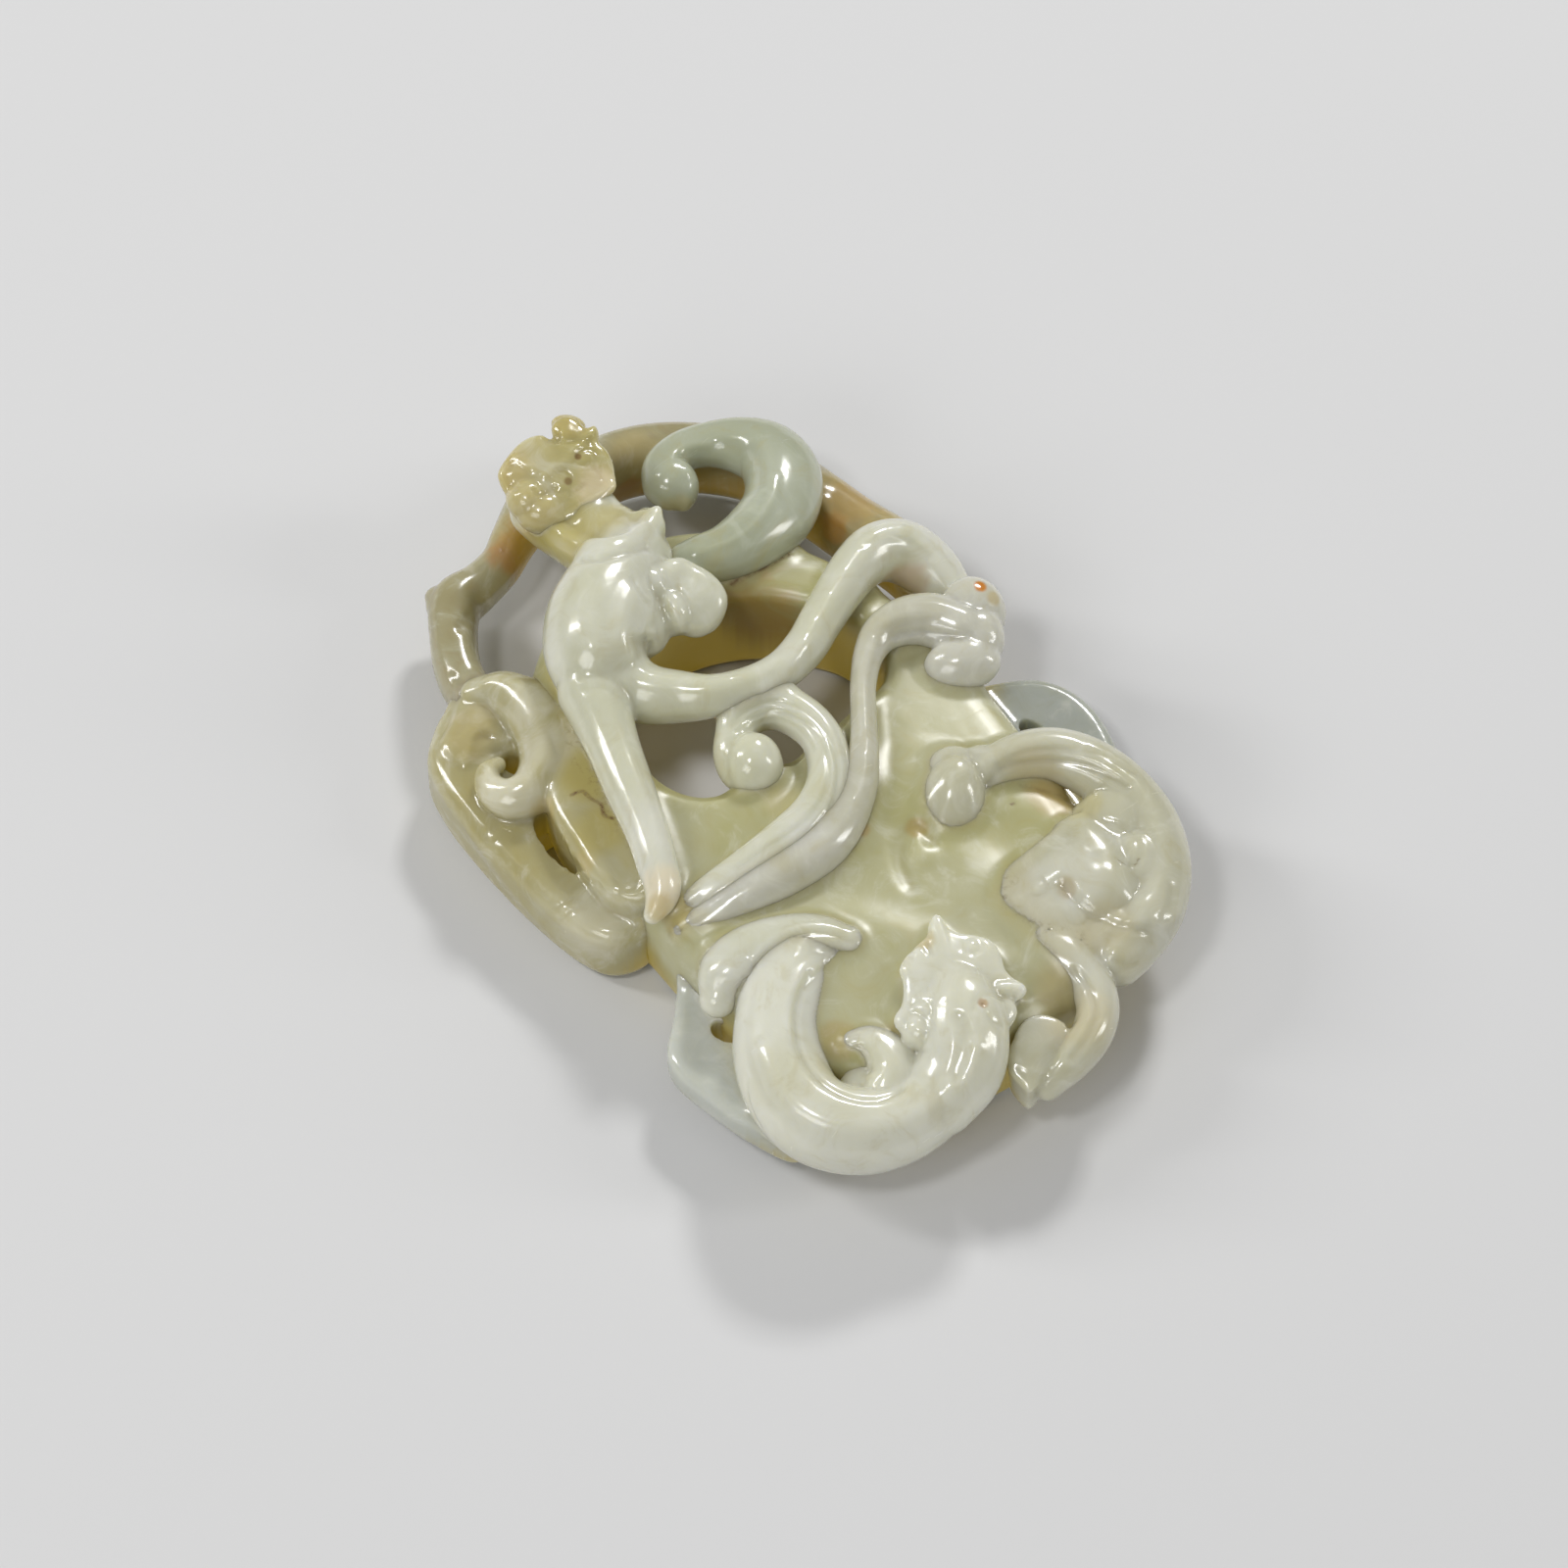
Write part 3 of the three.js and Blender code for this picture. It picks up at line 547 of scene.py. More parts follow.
piercedPlate = {
    "grain": 0.3,
    "polish": 6,
    "edge": 0.003,
    "crown": 0.0006,
    "rimRound": 0.0009,
    "outline": [
        (0.43, 0.02), (0.425, 0.15), (0.38, 0.27), (0.28, 0.34), (0.15, 0.365), (0.05, 0.375),
        (-0.05, 0.37), (-0.13, 0.352), (-0.2, 0.315), (-0.255, 0.265), (-0.305, 0.19), (-0.335, 0.1),
        (-0.338, 0), (-0.322, -0.09), (-0.292, -0.175), (-0.25, -0.245), (-0.2, -0.3), (-0.12, -0.338),
        (0, -0.348), (0.13, -0.348), (0.25, -0.335), (0.34, -0.29), (0.4, -0.19), (0.425, -0.08),
    ],
    "bore": [
        (0.004, 0.04), (-0.006, 0.15), (-0.02, 0.232), (-0.066, 0.262), (-0.115, 0.252), (-0.15, 0.216),
        (-0.186, 0.164), (-0.21, 0.094), (-0.218, 0.025), (-0.208, -0.045), (-0.184, -0.11),
        (-0.142, -0.162), (-0.09, -0.188), (-0.04, -0.184), (-0.006, -0.15), (0.006, -0.095),
        (0.004, -0.03),
    ],
    "edgeStep": 0.08,
    "edgeShares": [(-0.4, 0), (-0.1, 0.07), (0, 0.3), (0, 0.55), (-0.12, 0.78), (-0.45, 0.94), (-1, 1)],
    "crownShares": [(0.85, 0.3), (0.62, 0.6), (0.3, 0.92), (0.08, 1)],
    # the wall of the bore: how far out and up in rim rounds, and from the bottom, 0, or the top, 1
    "boreWall": [
        (3, -5, 0), (1, -0.2, 0), (0.3, 0.3, 0), (0, 1, 0), (0, -1, 1), (0.3, -0.3, 1), (1, 0, 1),
        (3, 5, 1),
    ],
    "strokes": [
        ("groove", 1.1, 0.3, 0.12, (950, 855), (943, 846), (933, 843), (924, 850), (919, 866), (922, 884),
         (929, 900)),
        ("dab", 1.8, 0.25, 0, (941, 872)),
        ("dab", 6.4, -0.55, 0, (826, 774)),
        ("dab", 5.4, 0.6, 0, (945, 800)),
        ("dab", 4.6, -0.36, 0, (1030, 860)),
        ("dab", 4.2, -0.34, 0, (1070, 1010)),
        ("step", 4.6, 0.19, 0, (790, 924), (850, 922), (900, 931), (950, 950)),
        ("groove", 0.5, 0.1, 0.8, (745, 598), (760, 590), (782, 580), (805, 567), (822, 549)),
        ("groove", 0.4, 0.1, 0.8, (874, 846), (882, 838)),
        ("groove", 0.35, 0.1, 1.0, (1033, 820)),
        ("groove", 0.6, 0.1, 0.35, (1040, 802), (1070, 808), (1090, 818), (1110, 826)),
        ("groove", 0.5, 0.14, 0, (720, 905), (738, 898), (762, 896)),
    ],
}


def makePlate():
    thickness = stone["plateThickness"]
    outline = piercedPlate["outline"]
    shares = [(inset, up, 0) for inset, up in piercedPlate["edgeShares"]]
    edge = curveThrough(shares, piercedPlate["edgeStep"])
    rings = [ringRound(outline, inset * piercedPlate["edge"], up * thickness) for inset, up, _ in edge]
    brink = rings[-1]
    middle = sum(brink, Vector()) / len(brink)
    for shrink, rise in piercedPlate["crownShares"]:
        lift = skyward * (rise * piercedPlate["crown"])
        rings.append([middle.lerp(point, shrink) + lift for point in brink])
    clay = bmesh.new()
    skinRings(clay, rings)

    rim = piercedPlate["rimRound"]
    walls = []
    for out, up, level in piercedPlate["boreWall"]:
        walls.append(ringRound(piercedPlate["bore"], out * rim, level * thickness + up * rim))
    bore = bmesh.new()
    skinRings(bore, walls)
    cutters = [meshOf(bore, "boreCutter")]
    finishPiece(clay, "pierced_plate", piercedPlate, ["pierced_plate"], cutters=cutters)


makePlate()


climbingBody = {
    "grain": 0.2,
    "polish": 18,
    "neck": {"girth": 0.0074, "depth": 0.0058, "sides": 32, "ends": 0.6, "seen": [
        (556, 514, 0.94, 0.92), (572, 526, 1.02, 0.96), (597, 541, 1.14, 1), (620, 556, 1.25, 1.03),
    ]},
    "body": {"girth": 0.0094, "depth": 0.009, "sides": 36, "keel": 0.08, "lean": -0.3, "seen": [
        (640, 572, 1.26, 0.8), (630, 600, 1.32, 0.94), (614, 640, 1.33, 1.03), (617, 678, 1.28, 0.96),
        (634, 698, 1.22, 0.64),
    ]},
    "masses": [
        (674, 606, 1.27, 2.8, 3.3, 2.3, 0), (662, 642, 1.26, 1.8, 2.3, 2.1, 0),
        (612, 712, 1.25, 2.9, 2.8, 2.8, 0), (724, 574, 1.1, 2.2, 1.8, 1.6, 0),
        (686, 626, 1.3, 1.7, 2.0, 1.8, 0), (684, 596, 1.36, 1.9, 2.4, 1.9, 0),
    ],
    "paw": {
        "middle": (704, 609, 1.46), "lean": 0.3, "deep": 3.4, "taper": 0.7, "rounding": 1.4, "crown": 0.5,
        "outline": [
            (668, 582), (669, 594), (676, 608), (684, 622), (689, 634), (697, 645), (712, 648), (731, 639),
            (741, 622), (743, 606), (736, 591), (723, 579), (707, 571), (690, 568), (676, 571),
        ],
    },
    "blocks": [(662, 533, 1.38, 0.9, 1.3, 1.4, -0.03, 0.3)],
    "collar": {"girth": 0.0034, "depth": 0.003, "sides": 24, "square": 0.75, "ends": 0.6, "seen": [
        (576, 559, 1.04, 0.8), (600, 561, 1.32, 1), (628, 556, 1.42, 1.04), (648, 547, 1.43, 1.06),
        (659, 538, 1.4, 1.08),
    ]},
    "foreleg": {"girth": 0.0041, "depth": 0.0044, "seen": [
        (606, 706, 1.24, 1.5), (622, 752, 1.22, 1.14), (643, 806, 1.2, 1.0), (661, 850, 1.17, 0.88),
        (671, 884, 1.13, 0.82), (676, 904, 1.08, 0.76), (673, 921, 1.03, 0.62), (666, 934, 0.99, 0.4),
    ]},
    "tail": {"girth": 0.0039, "depth": 0.004, "keel": 0.16, "lean": -0.1, "lead": [
        (606, 672, 1.16, 1.6), (632, 694, 1.17, 1.5), (660, 708, 1.19, 1.3), (694, 711, 1.23, 1.12),
    ], "route": [
        (-0.086, -0.045, 1.3, 0.94), (-0.074, 0.014, 1.3, 0.84), (-0.07, 0.074, 1.3, 0.86),
        (-0.081, 0.134, 1.28, 0.92), (-0.105, 0.198, 1.24, 0.96), (-0.129, 0.262, 1.19, 1.04),
        (-0.147, 0.316, 1.13, 1.14), (-0.156, 0.368, 1.05, 1.3), (-0.148, 0.412, 0.94, 1.4),
        (-0.118, 0.436, 0.84, 1.3), (-0.085, 0.44, 0.76, 1.1),
    ]},
    "strokes": [
        ("step", 1.3, 0.4, 0, (572, 536), (588, 545), (604, 550), (620, 549), (635, 545), (650, 535),
         (661, 523)),
        ("step", 1.1, 0.3, 0, (690, 636), (684, 622), (676, 609), (669, 595), (667, 583), (674, 573),
         (687, 568)),
        ("groove", 0.7, 0.2, 0, (690, 570), (677, 573), (668, 582), (668, 594), (674, 608)),
        ("groove", 0.4, 0.2, 0, (647, 590), (650, 602), (657, 611), (665, 617)),
        ("groove", 0.5, 0.1, 0, (668, 637), (661, 643), (659, 654), (664, 666)),
        ("groove", 0.3, 0.1, 0, (726, 594), (732, 600), (730, 607)),
        ("ridge", 1.6, 0.3, 0, (646, 606), (636, 628), (634, 650), (641, 668)),
        ("groove", 0.6, 0.3, 0.1, (592, 571), (608, 571), (626, 567), (645, 562), (660, 558)),
        ("groove", 0.45, 0.1, 0, (592, 692), (610, 690), (628, 696), (641, 706)),
        ("groove", 0.45, 0.1, 0, (596, 703), (614, 701), (630, 709), (640, 722)),
        ("ridge", 0.9, 0.2, 0, (778, 705), (800, 688), (822, 656), (840, 618), (858, 588), (885, 566)),
        ("groove", 0.5, 0.12, 0, (880, 556), (905, 548), (928, 553), (948, 568)),
    ],
}

clay = layClay(climbingBody, ["neck", "body", "collar", "foreleg", "tail"], ["paw"])
replaced = ["climbing_dragon_body", "climbing_dragon_foreleg", "long_s_tail"]
finishPiece(clay, "climbing_dragon_body", climbingBody, replaced)


climbingHead = {
    "grain": 0.14,
    "polish": 10,
    "face": {
        "middle": (567, 485, 1.58), "lean": 0.6, "deep": 3.8, "taper": 0.9, "rounding": 0.7, "crown": 0.7,
        "outline": [
            (563, 444), (562, 433), (569, 425), (579, 422), (589, 426), (598, 434), (607, 431), (611, 439),
            (611, 448), (619, 456), (625, 468), (628, 482), (629, 495), (619, 505), (602, 517), (587, 527),
            (571, 532), (553, 531), (536, 525), (524, 514), (516, 503), (510, 492), (507, 481), (511, 472),
            (518, 462), (529, 450), (541, 443), (553, 441),
        ],
    },
    "masses": [
        (560, 496, 1.36, 3.2, 2.6, 2.2, 0), (580, 434, 1.58, 1.5, 0.9, 1.0, -0.05),
        (539, 510, 1.43, 1.9, 1.8, 2.0, 0), (554, 523, 1.36, 2.3, 1.9, 2.0, 0),
    ],
    "strokes": [
        ("groove", 0.7, 0.24, 0, (560, 447), (574, 447), (587, 448), (600, 450), (611, 449)),
        ("groove", 0.36, 0.11, 0.1, (587, 470), (590, 462), (598, 458), (606, 460)),
        ("groove", 0.32, 0.09, 0, (591, 473), (600, 474), (607, 469), (609, 462)),
        ("groove", 0.36, 0.11, 0.1, (583, 497), (583, 488), (577, 481), (568, 480)),
        ("groove", 0.32, 0.09, 0, (561, 487), (562, 496), (569, 502), (578, 501)),
        ("ridge", 0.7, 0.14, 0, (556, 484), (566, 475), (578, 468), (586, 457), (598, 451)),
        ("dab", 2.2, -0.15, 0, (614, 490)),
        ("ridge", 0.6, 0.16, 0, (626, 494), (614, 505), (600, 515), (587, 524), (572, 529)),
        ("groove", 0.35, 0.14, 0, (606, 477), (612, 480), (614, 487)),
        ("groove", 0.35, 0.14, 0, (581, 510), (583, 503), (590, 501), (596, 495)),
        ("groove", 0.35, 0.14, 0, (545, 499), (551, 504), (561, 502), (566, 497)),
        ("groove", 0.4, 0.12, 0, (521, 474), (516, 484), (520, 494), (527, 499)),
        ("ridge", 0.6, 0.16, 0, (526, 466), (535, 471), (543, 478)),
    ],
}

clay = layClay(climbingHead, [], ["face"])
finishPiece(clay, "climbing_dragon_head", climbingHead, ["climbing_dragon_head"])


maneCurl = {
    "grain": 0.2,
    "polish": 12,
    "band": {"girth": 0.0064, "depth": 0.006, "sides": 36, "keel": 0.1, "lean": 0.35, "seen": [
        (706, 574, 1.16, 0.6), (738, 566, 1.12, 0.76), (770, 548, 1.06, 0.92), (795, 520, 1.0, 1.02),
        (799, 488, 0.95, 1.04), (782, 464, 0.9, 0.94), (752, 454, 0.88, 0.78), (720, 454, 0.87, 0.62),
        (694, 462, 0.87, 0.58), (679, 478, 0.87, 0.62), (680, 494, 0.88, 0.66),
    ]},
    "masses": [(685, 494, 0.9, 2.3, 2.3, 1.9, 0), (699, 500, 0.88, 1.2, 1.9, 1.6, -0.05)],
    "strokes": [
        ("ridge", 0.8, 0.18, 0, (712, 562), (745, 550), (768, 533), (786, 508), (790, 485), (778, 468)),
        ("groove", 0.4, 0.12, 0, (720, 556), (748, 544), (769, 526), (782, 502)),
        ("ridge", 0.7, 0.16, 0, (684, 466), (700, 456), (722, 452)),
        ("dab", 0.8, 0.2, 0, (701, 481)),
    ],
}

finishPiece(layClay(maneCurl, ["band"]), "mane_curl", maneCurl, ["mane_curl"])


ballCurl = {
    "grain": 0.17,
    "polish": 4,
    "band": {"girth": 0.0036, "depth": 0.004, "sides": 32, "square": 0.94, "ends": 0.5, "seen": [
        (696, 934, 0.84, 0.4), (726, 914, 0.96, 0.8), (766, 887, 1.05, 1.02), (802, 860, 1.1, 1.1),
        (828, 834, 1.13, 1.04), (842, 808, 1.15, 0.98), (845, 780, 1.15, 0.95), (838, 753, 1.15, 0.97),
        (820, 734, 1.15, 1), (796, 722, 1.14, 1.02), (774, 723, 1.12, 1), (757, 735, 1.1, 0.96),
        (749, 753, 1.08, 0.9), (747, 775, 1.04, 0.84), (753, 793, 0.98, 0.66), (765, 799, 0.94, 0.4),
    ]},
    "masses": [(769, 780, 1.08, 2.4, 2.65, 2.5, 0)],
    "strokes": [
        ("groove", 0.4, 0.2, 0, (746, 742), (760, 726), (782, 716), (804, 717), (826, 728), (846, 752),
         (855, 784), (851, 812), (836, 840), (808, 866), (768, 893), (730, 918)),
        ("groove", 0.4, 0.16, 0, (752, 746), (768, 732), (790, 725), (812, 731), (830, 744), (842, 766),
         (846, 790), (838, 816), (820, 838), (790, 860), (752, 886)),
        ("groove", 0.35, 0.12, 0, (762, 744), (778, 736), (798, 735), (816, 745), (830, 764)),
    ],
}

finishPiece(layClay(ballCurl, ["band"]), "ball_curl", ballCurl, ["ball_curl"])


fungusScroll = {
    "grain": 0.17,
    "polish": 20,
    "band": {"girth": 0.004, "depth": 0.004, "sides": 28, "keel": 0.08, "route": [
        (0.12, -0.32, 0.86, 0.36), (0.13, -0.26, 0.98, 0.64), (0.136, -0.2, 1.07, 0.8),
        (0.14, -0.144, 1.12, 0.88), (0.138, -0.064, 1.14, 0.9), (0.125, -0.006, 1.16, 0.8),
        (0.097, 0.056, 1.17, 0.68), (0.062, 0.102, 1.18, 0.6), (0.026, 0.14, 1.18, 0.56),
        (-0.01, 0.178, 1.18, 0.56), (-0.04, 0.222, 1.18, 0.66), (-0.056, 0.265, 1.17, 0.84),
        (-0.056, 0.311, 1.15, 1.04), (-0.042, 0.352, 1.12, 1.16), (-0.014, 0.38, 1.1, 1.2),
    ]},
    "masses": [
        (993, 624, 1.06, 2.75, 3.0, 2.3, 0.12), (973, 636, 1.1, 3.0, 2.0, 2.0, -0.08),
        (983, 677, 1.05, 3.2, 2.3, 2.0, 0.04), (1000, 652, 1.07, 2.1, 2.6, 2.1, 0),
    ],
    "strokes": [
        ("groove", 0.6, 0.2, 0, (912, 649), (934, 645), (958, 647), (980, 652)),
        ("ridge", 0.8, 0.14, 0, (900, 634), (930, 626), (952, 626)),
        ("ridge", 0.8, 0.16, 0, (881, 745), (880, 715), (881, 685), (890, 655)),
    ],
}

finishPiece(layClay(fungusScroll, ["band"]), "fungus_scroll", fungusScroll, ["fungus_scroll"])


farDragon = {
    "grain": 0.18,
    "polish": 14,
    "band": {"girth": 0.0048, "depth": 0.0052, "sides": 32, "keel": 0.06, "lead": [
        (986, 806, 1.0, 0.5), (1002, 790, 1.02, 0.66),
    ], "route": [
        (0.157, 0.31, 1.04, 0.86), (0.174, 0.36, 1.02, 0.94), (0.205, 0.396, 0.98, 1),
        (0.246, 0.416, 0.92, 1.06), (0.298, 0.412, 0.86, 1.14), (0.344, 0.382, 0.82, 1.14),
        (0.38, 0.328, 0.8, 1.12), (0.4, 0.272, 0.8, 1.06), (0.408, 0.226, 0.8, 1),
    ]},
    "masses": [
        (1142, 852, 0.8, 4.2, 4.2, 3.4, 0), (1166, 905, 0.78, 3.2, 4.8, 3.2, 0.06),
        (1128, 962, 0.78, 4.6, 2.9, 3.0, 0.1), (1085, 970, 0.8, 2.6, 2.4, 2.4, -0.2),
        (973, 818, 1.0, 2.45, 3.85, 2.4, -0.04), (975, 794, 0.98, 2.3, 2.6, 2.0, 0),
        (998, 784, 1.0, 2.3, 1.7, 1.6, 0.2),
    ],
    "face": {
        "middle": (1095, 900, 1.06), "lean": 0.8, "deep": 5, "taper": -0.6, "rounding": 1.3, "crown": 1.3,
        "outline": [
            (1100, 826), (1116, 827), (1140, 836), (1166, 852), (1182, 880), (1182, 915), (1166, 944),
            (1140, 966), (1110, 980), (1084, 978), (1063, 972), (1046, 964), (1031, 950), (1019, 936),
            (1013, 920), (1015, 903), (1024, 888), (1039, 875), (1056, 861), (1071, 848), (1087, 834),
        ],
    },
    "tail": {"girth": 0.0035, "depth": 0.0042, "sides": 28, "seen": [
        (1062, 964, 0.86, 0.8), (1086, 976, 0.86, 0.92), (1108, 996, 0.82, 1), (1120, 1022, 0.78, 1),
        (1117, 1048, 0.76, 1), (1104, 1070, 0.74, 0.96), (1086, 1090, 0.7, 0.86), (1068, 1106, 0.64, 0.7),
    ]},
    "foot": {
        "middle": (1058, 1078, 0.86), "lean": 0.75, "deep": 4.4, "taper": 0.2, "rounding": 0.5, "crown": 0.3,
        "outline": [
            (1047, 1041), (1065, 1034), (1083, 1038), (1090, 1051), (1080, 1072), (1069, 1092),
            (1060, 1107), (1051, 1114), (1040, 1105), (1031, 1093), (1028, 1080), (1034, 1060),
        ],
    },
    "strokes": [
        ("step", 2.4, 0.34, 0, (1176, 946), (1150, 947), (1130, 941), (1111, 931), (1095, 917), (1084, 901)),
        ("groove", 0.6, 0.22, 0.05, (1084, 901), (1096, 917), (1112, 931), (1130, 940), (1150, 946),
         (1170, 948)),
        ("groove", 1.8, 0.22, 0, (1089, 905)),
        ("ridge", 0.7, 0.18, 0, (1104, 831), (1089, 838), (1066, 857), (1048, 872), (1030, 889)),
        ("groove", 0.4, 0.12, 0, (1127, 837), (1140, 840), (1151, 848), (1162, 862), (1163, 874),
         (1156, 883), (1146, 883), (1139, 878)),
        ("groove", 0.2, 0.03, 0.6, (1162, 876), (1158, 883)),
        ("groove", 0.2, 0.03, 0.6, (1148, 884), (1141, 880)),
        ("ridge", 1.6, 0.2, 0, (1104, 843), (1122, 858), (1134, 874), (1140, 892), (1147, 908), (1157, 922)),
        ("dab", 3.4, 0.5, 0, (1130, 900)),
        ("groove", 2.0, 0.18, 0, (1046, 900), (1062, 908), (1076, 912)),
        ("dab", 0.8, 0.18, 0, (1057, 904)),
        ("dab", 0.7, 0.16, 0, (1039, 918)),
        ("groove", 0.36, 0.13, 0, (1062, 892), (1067, 902), (1062, 912), (1053, 914)),
        ("groove", 0.4, 0.14, 0, (1086, 934), (1092, 944), (1104, 944), (1110, 938)),
        ("groove", 0.36, 0.1, 0, (1066, 955), (1074, 946), (1078, 940)),
        ("groove", 0.5, 0.22, 0, (1008, 800), (1022, 785), (1050, 777), (1085, 777), (1120, 786),
         (1150, 803)),
        ("groove", 0.4, 0.14, 0, (1016, 782), (1045, 768), (1085, 764), (1125, 770), (1160, 790)),
        ("groove", 0.7, 0.14, 0.15, (1186, 936), (1193, 922), (1196, 905)),
        ("groove", 0.35, 0.12, 0, (1138, 980), (1148, 985), (1160, 983)),
        ("groove", 0.5, 0.22, 0, (1098, 990), (1108, 1002), (1116, 1018), (1117, 1040), (1108, 1060),
         (1094, 1080)),
        ("ridge", 0.4, 0.12, 0, (1038, 1084), (1050, 1090), (1062, 1094)),
        ("step", 1.4, 0.2, 0, (1062, 1118), (1066, 1100), (1078, 1078), (1088, 1058)),
    ],
}

clay = layClay(farDragon, ["band", "tail"], ["face", "foot"])
replaced = ["far_dragon_body", "far_dragon_head", "far_dragon_tail", "cloud_lobe"]
finishPiece(clay, "far_dragon_body", farDragon, replaced)


coiledDragon = {
    "grain": 0.17,
    "polish": 12,
    "band": {"girth": 0.0072, "depth": 0.0076, "sides": 36, "keel": 0.06, "route": [
        (0.404, -0.055, 0.94, 0.72), (0.425, -0.105, 0.84, 0.8), (0.437, -0.17, 0.76, 0.84),
        (0.436, -0.238, 0.7, 0.88), (0.418, -0.3, 0.7, 0.96), (0.38, -0.344, 0.72, 1.0),
        (0.33, -0.346, 0.76, 1.0), (0.282, -0.312, 0.8, 0.98), (0.249, -0.26, 0.86, 0.9),
        (0.232, -0.205, 0.92, 0.7), (0.236, -0.158, 0.95, 0.34),
    ]},
    "neck": {"girth": 0.0068, "depth": 0.0058, "sides": 32, "seen": [
        (972, 1000, 1.06, 0.8), (982, 1030, 1.1, 0.98), (986, 1060, 1.04, 1.02), (980, 1090, 0.92, 1.04),
        (958, 1118, 0.8, 1),
    ]},
    "hook": {"girth": 0.0042, "depth": 0.0042, "sides": 28, "keel": 0.12, "lean": 0.4, "seen": [
        (898, 1132, 0.7, 1.0), (909, 1112, 0.78, 1.1), (911, 1090, 0.86, 1.0), (899, 1073, 0.92, 0.74),
        (884, 1064, 0.95, 0.5), (871, 1064, 0.95, 0.32),
    ]},
    "masses": [
        (890, 1108, 0.74, 2.8, 1.5, 1.6, 0.05), (958, 1040, 1.08, 2.6, 2.6, 1.8, 0),
        (940, 1052, 1.06, 1.6, 1.6, 1.6, 0),
    ],
    "face": {
        "middle": (975, 1000, 1.26), "lean": 0.7, "deep": 3.0, "taper": 0.7, "rounding": 0.75, "crown": 0.55,
        "outline": [
            (954, 929), (962, 933), (968, 943), (980, 949), (994, 951), (1009, 955), (1018, 963),
            (1023, 974), (1026, 985), (1033, 994), (1045, 1001), (1049, 1008), (1045, 1014), (1037, 1018),
            (1039, 1029), (1035, 1040), (1028, 1047), (1019, 1048), (1008, 1058), (990, 1064), (968, 1062),
            (950, 1066), (938, 1064), (926, 1055), (914, 1045), (912, 1036), (920, 1022), (921, 998),
            (917, 987), (921, 977), (934, 962), (945, 953), (947, 940),
        ],
    },
    "strokes": [
        ("groove", 0.5, 0.2, 0.2, (941, 953), (946, 962), (950, 972)),
        ("dab", 0.8, 0.14, 0, (991, 963)),
        ("groove", 0.36, 0.1, 0.1, (982, 969), (984, 961), (991, 957), (999, 960), (1000, 968), (992, 973)),
        ("dab", 0.7, 0.12, 0, (938, 971)),
        ("groove", 0.36, 0.1, 0.05, (930, 977), (931, 969), (939, 964), (945, 970)),
        ("groove", 0.4, 0.14, 0, (1012, 1006), (1017, 1000), (1026, 999)),
        ("groove", 0.6, 0.24, 0, (1014, 1013), (1024, 1017), (1036, 1018)),
        ("ridge", 0.6, 0.14, 0, (1022, 1005), (1034, 1005), (1043, 1008)),
        ("groove", 0.4, 0.2, 0.6, (1003, 1024)),
        ("groove", 0.4, 0.12, 0, (994, 1030), (996, 1022), (1002, 1016), (1010, 1014)),
        ("groove", 0.4, 0.12, 0, (1008, 1034), (1014, 1042), (1022, 1046)),
        ("groove", 0.4, 0.14, 0, (930, 1024), (940, 1020), (948, 1025), (950, 1034)),
        ("groove", 0.4, 0.14, 0, (925, 1048), (925, 1038), (932, 1033), (940, 1038), (942, 1046)),
        ("dab", 0.9, 0.12, 0, (966, 1015)),
        ("groove", 0.9, 0.3, 0, (978, 1038), (984, 1052), (984, 1072), (976, 1096)),
        ("groove", 0.6, 0.26, 0, (868, 966), (845, 975), (825, 995), (813, 1022), (811, 1050), (820, 1080),
         (842, 1106), (870, 1120), (895, 1122), (920, 1112)),
        ("ridge", 1.0, 0.24, 0, (832, 984), (812, 1004), (804, 1030), (804, 1055)),
        ("groove", 0.4, 0.16, 0, (860, 975), (835, 990), (824, 1010)),
        ("ridge", 1.4, 0.24, 0, (770, 1030), (780, 1070), (800, 1115), (840, 1143), (890, 1150),
         (940, 1136), (975, 1105), (994, 1070)),
        ("groove", 0.4, 0.12, 0, (762, 1100), (764, 1125), (775, 1148)),
        ("groove", 0.4, 0.12, 0, (876, 1067), (885, 1072), (889, 1083), (886, 1094)),
    ],
}

clay = layClay(coiledDragon, ["band", "neck", "hook"], ["face"])
replaced = ["coiled_dragon_body", "coiled_dragon_head", "coil_hook"]
finishPiece(clay, "coiled_dragon_body", coiledDragon, replaced)


coilLobe = {
    "grain": 0.18,
    "polish": 5,
    "band": {"girth": 0.0044, "depth": 0.0044, "sides": 28, "route": [
        (0.242, -0.13, 1.02, 0.5), (0.217, -0.166, 1.0, 0.8), (0.199, -0.222, 0.96, 1),
        (0.19, -0.278, 0.9, 1.06), (0.194, -0.32, 0.84, 1), (0.206, -0.345, 0.8, 0.7),
    ]},
    "strokes": [
        ("groove", 0.45, 0.22, 0, (868, 961), (845, 954), (818, 955), (792, 968), (770, 988)),
        ("ridge", 0.5, 0.16, 0, (868, 953), (845, 945), (815, 946), (788, 957), (768, 976)),
        ("groove", 0.4, 0.14, 0, (762, 1030), (756, 1012), (760, 998)),
    ],
}

finishPiece(layClay(coilLobe, ["band"]), "coil_lobe", coilLobe, ["coil_lobe"])


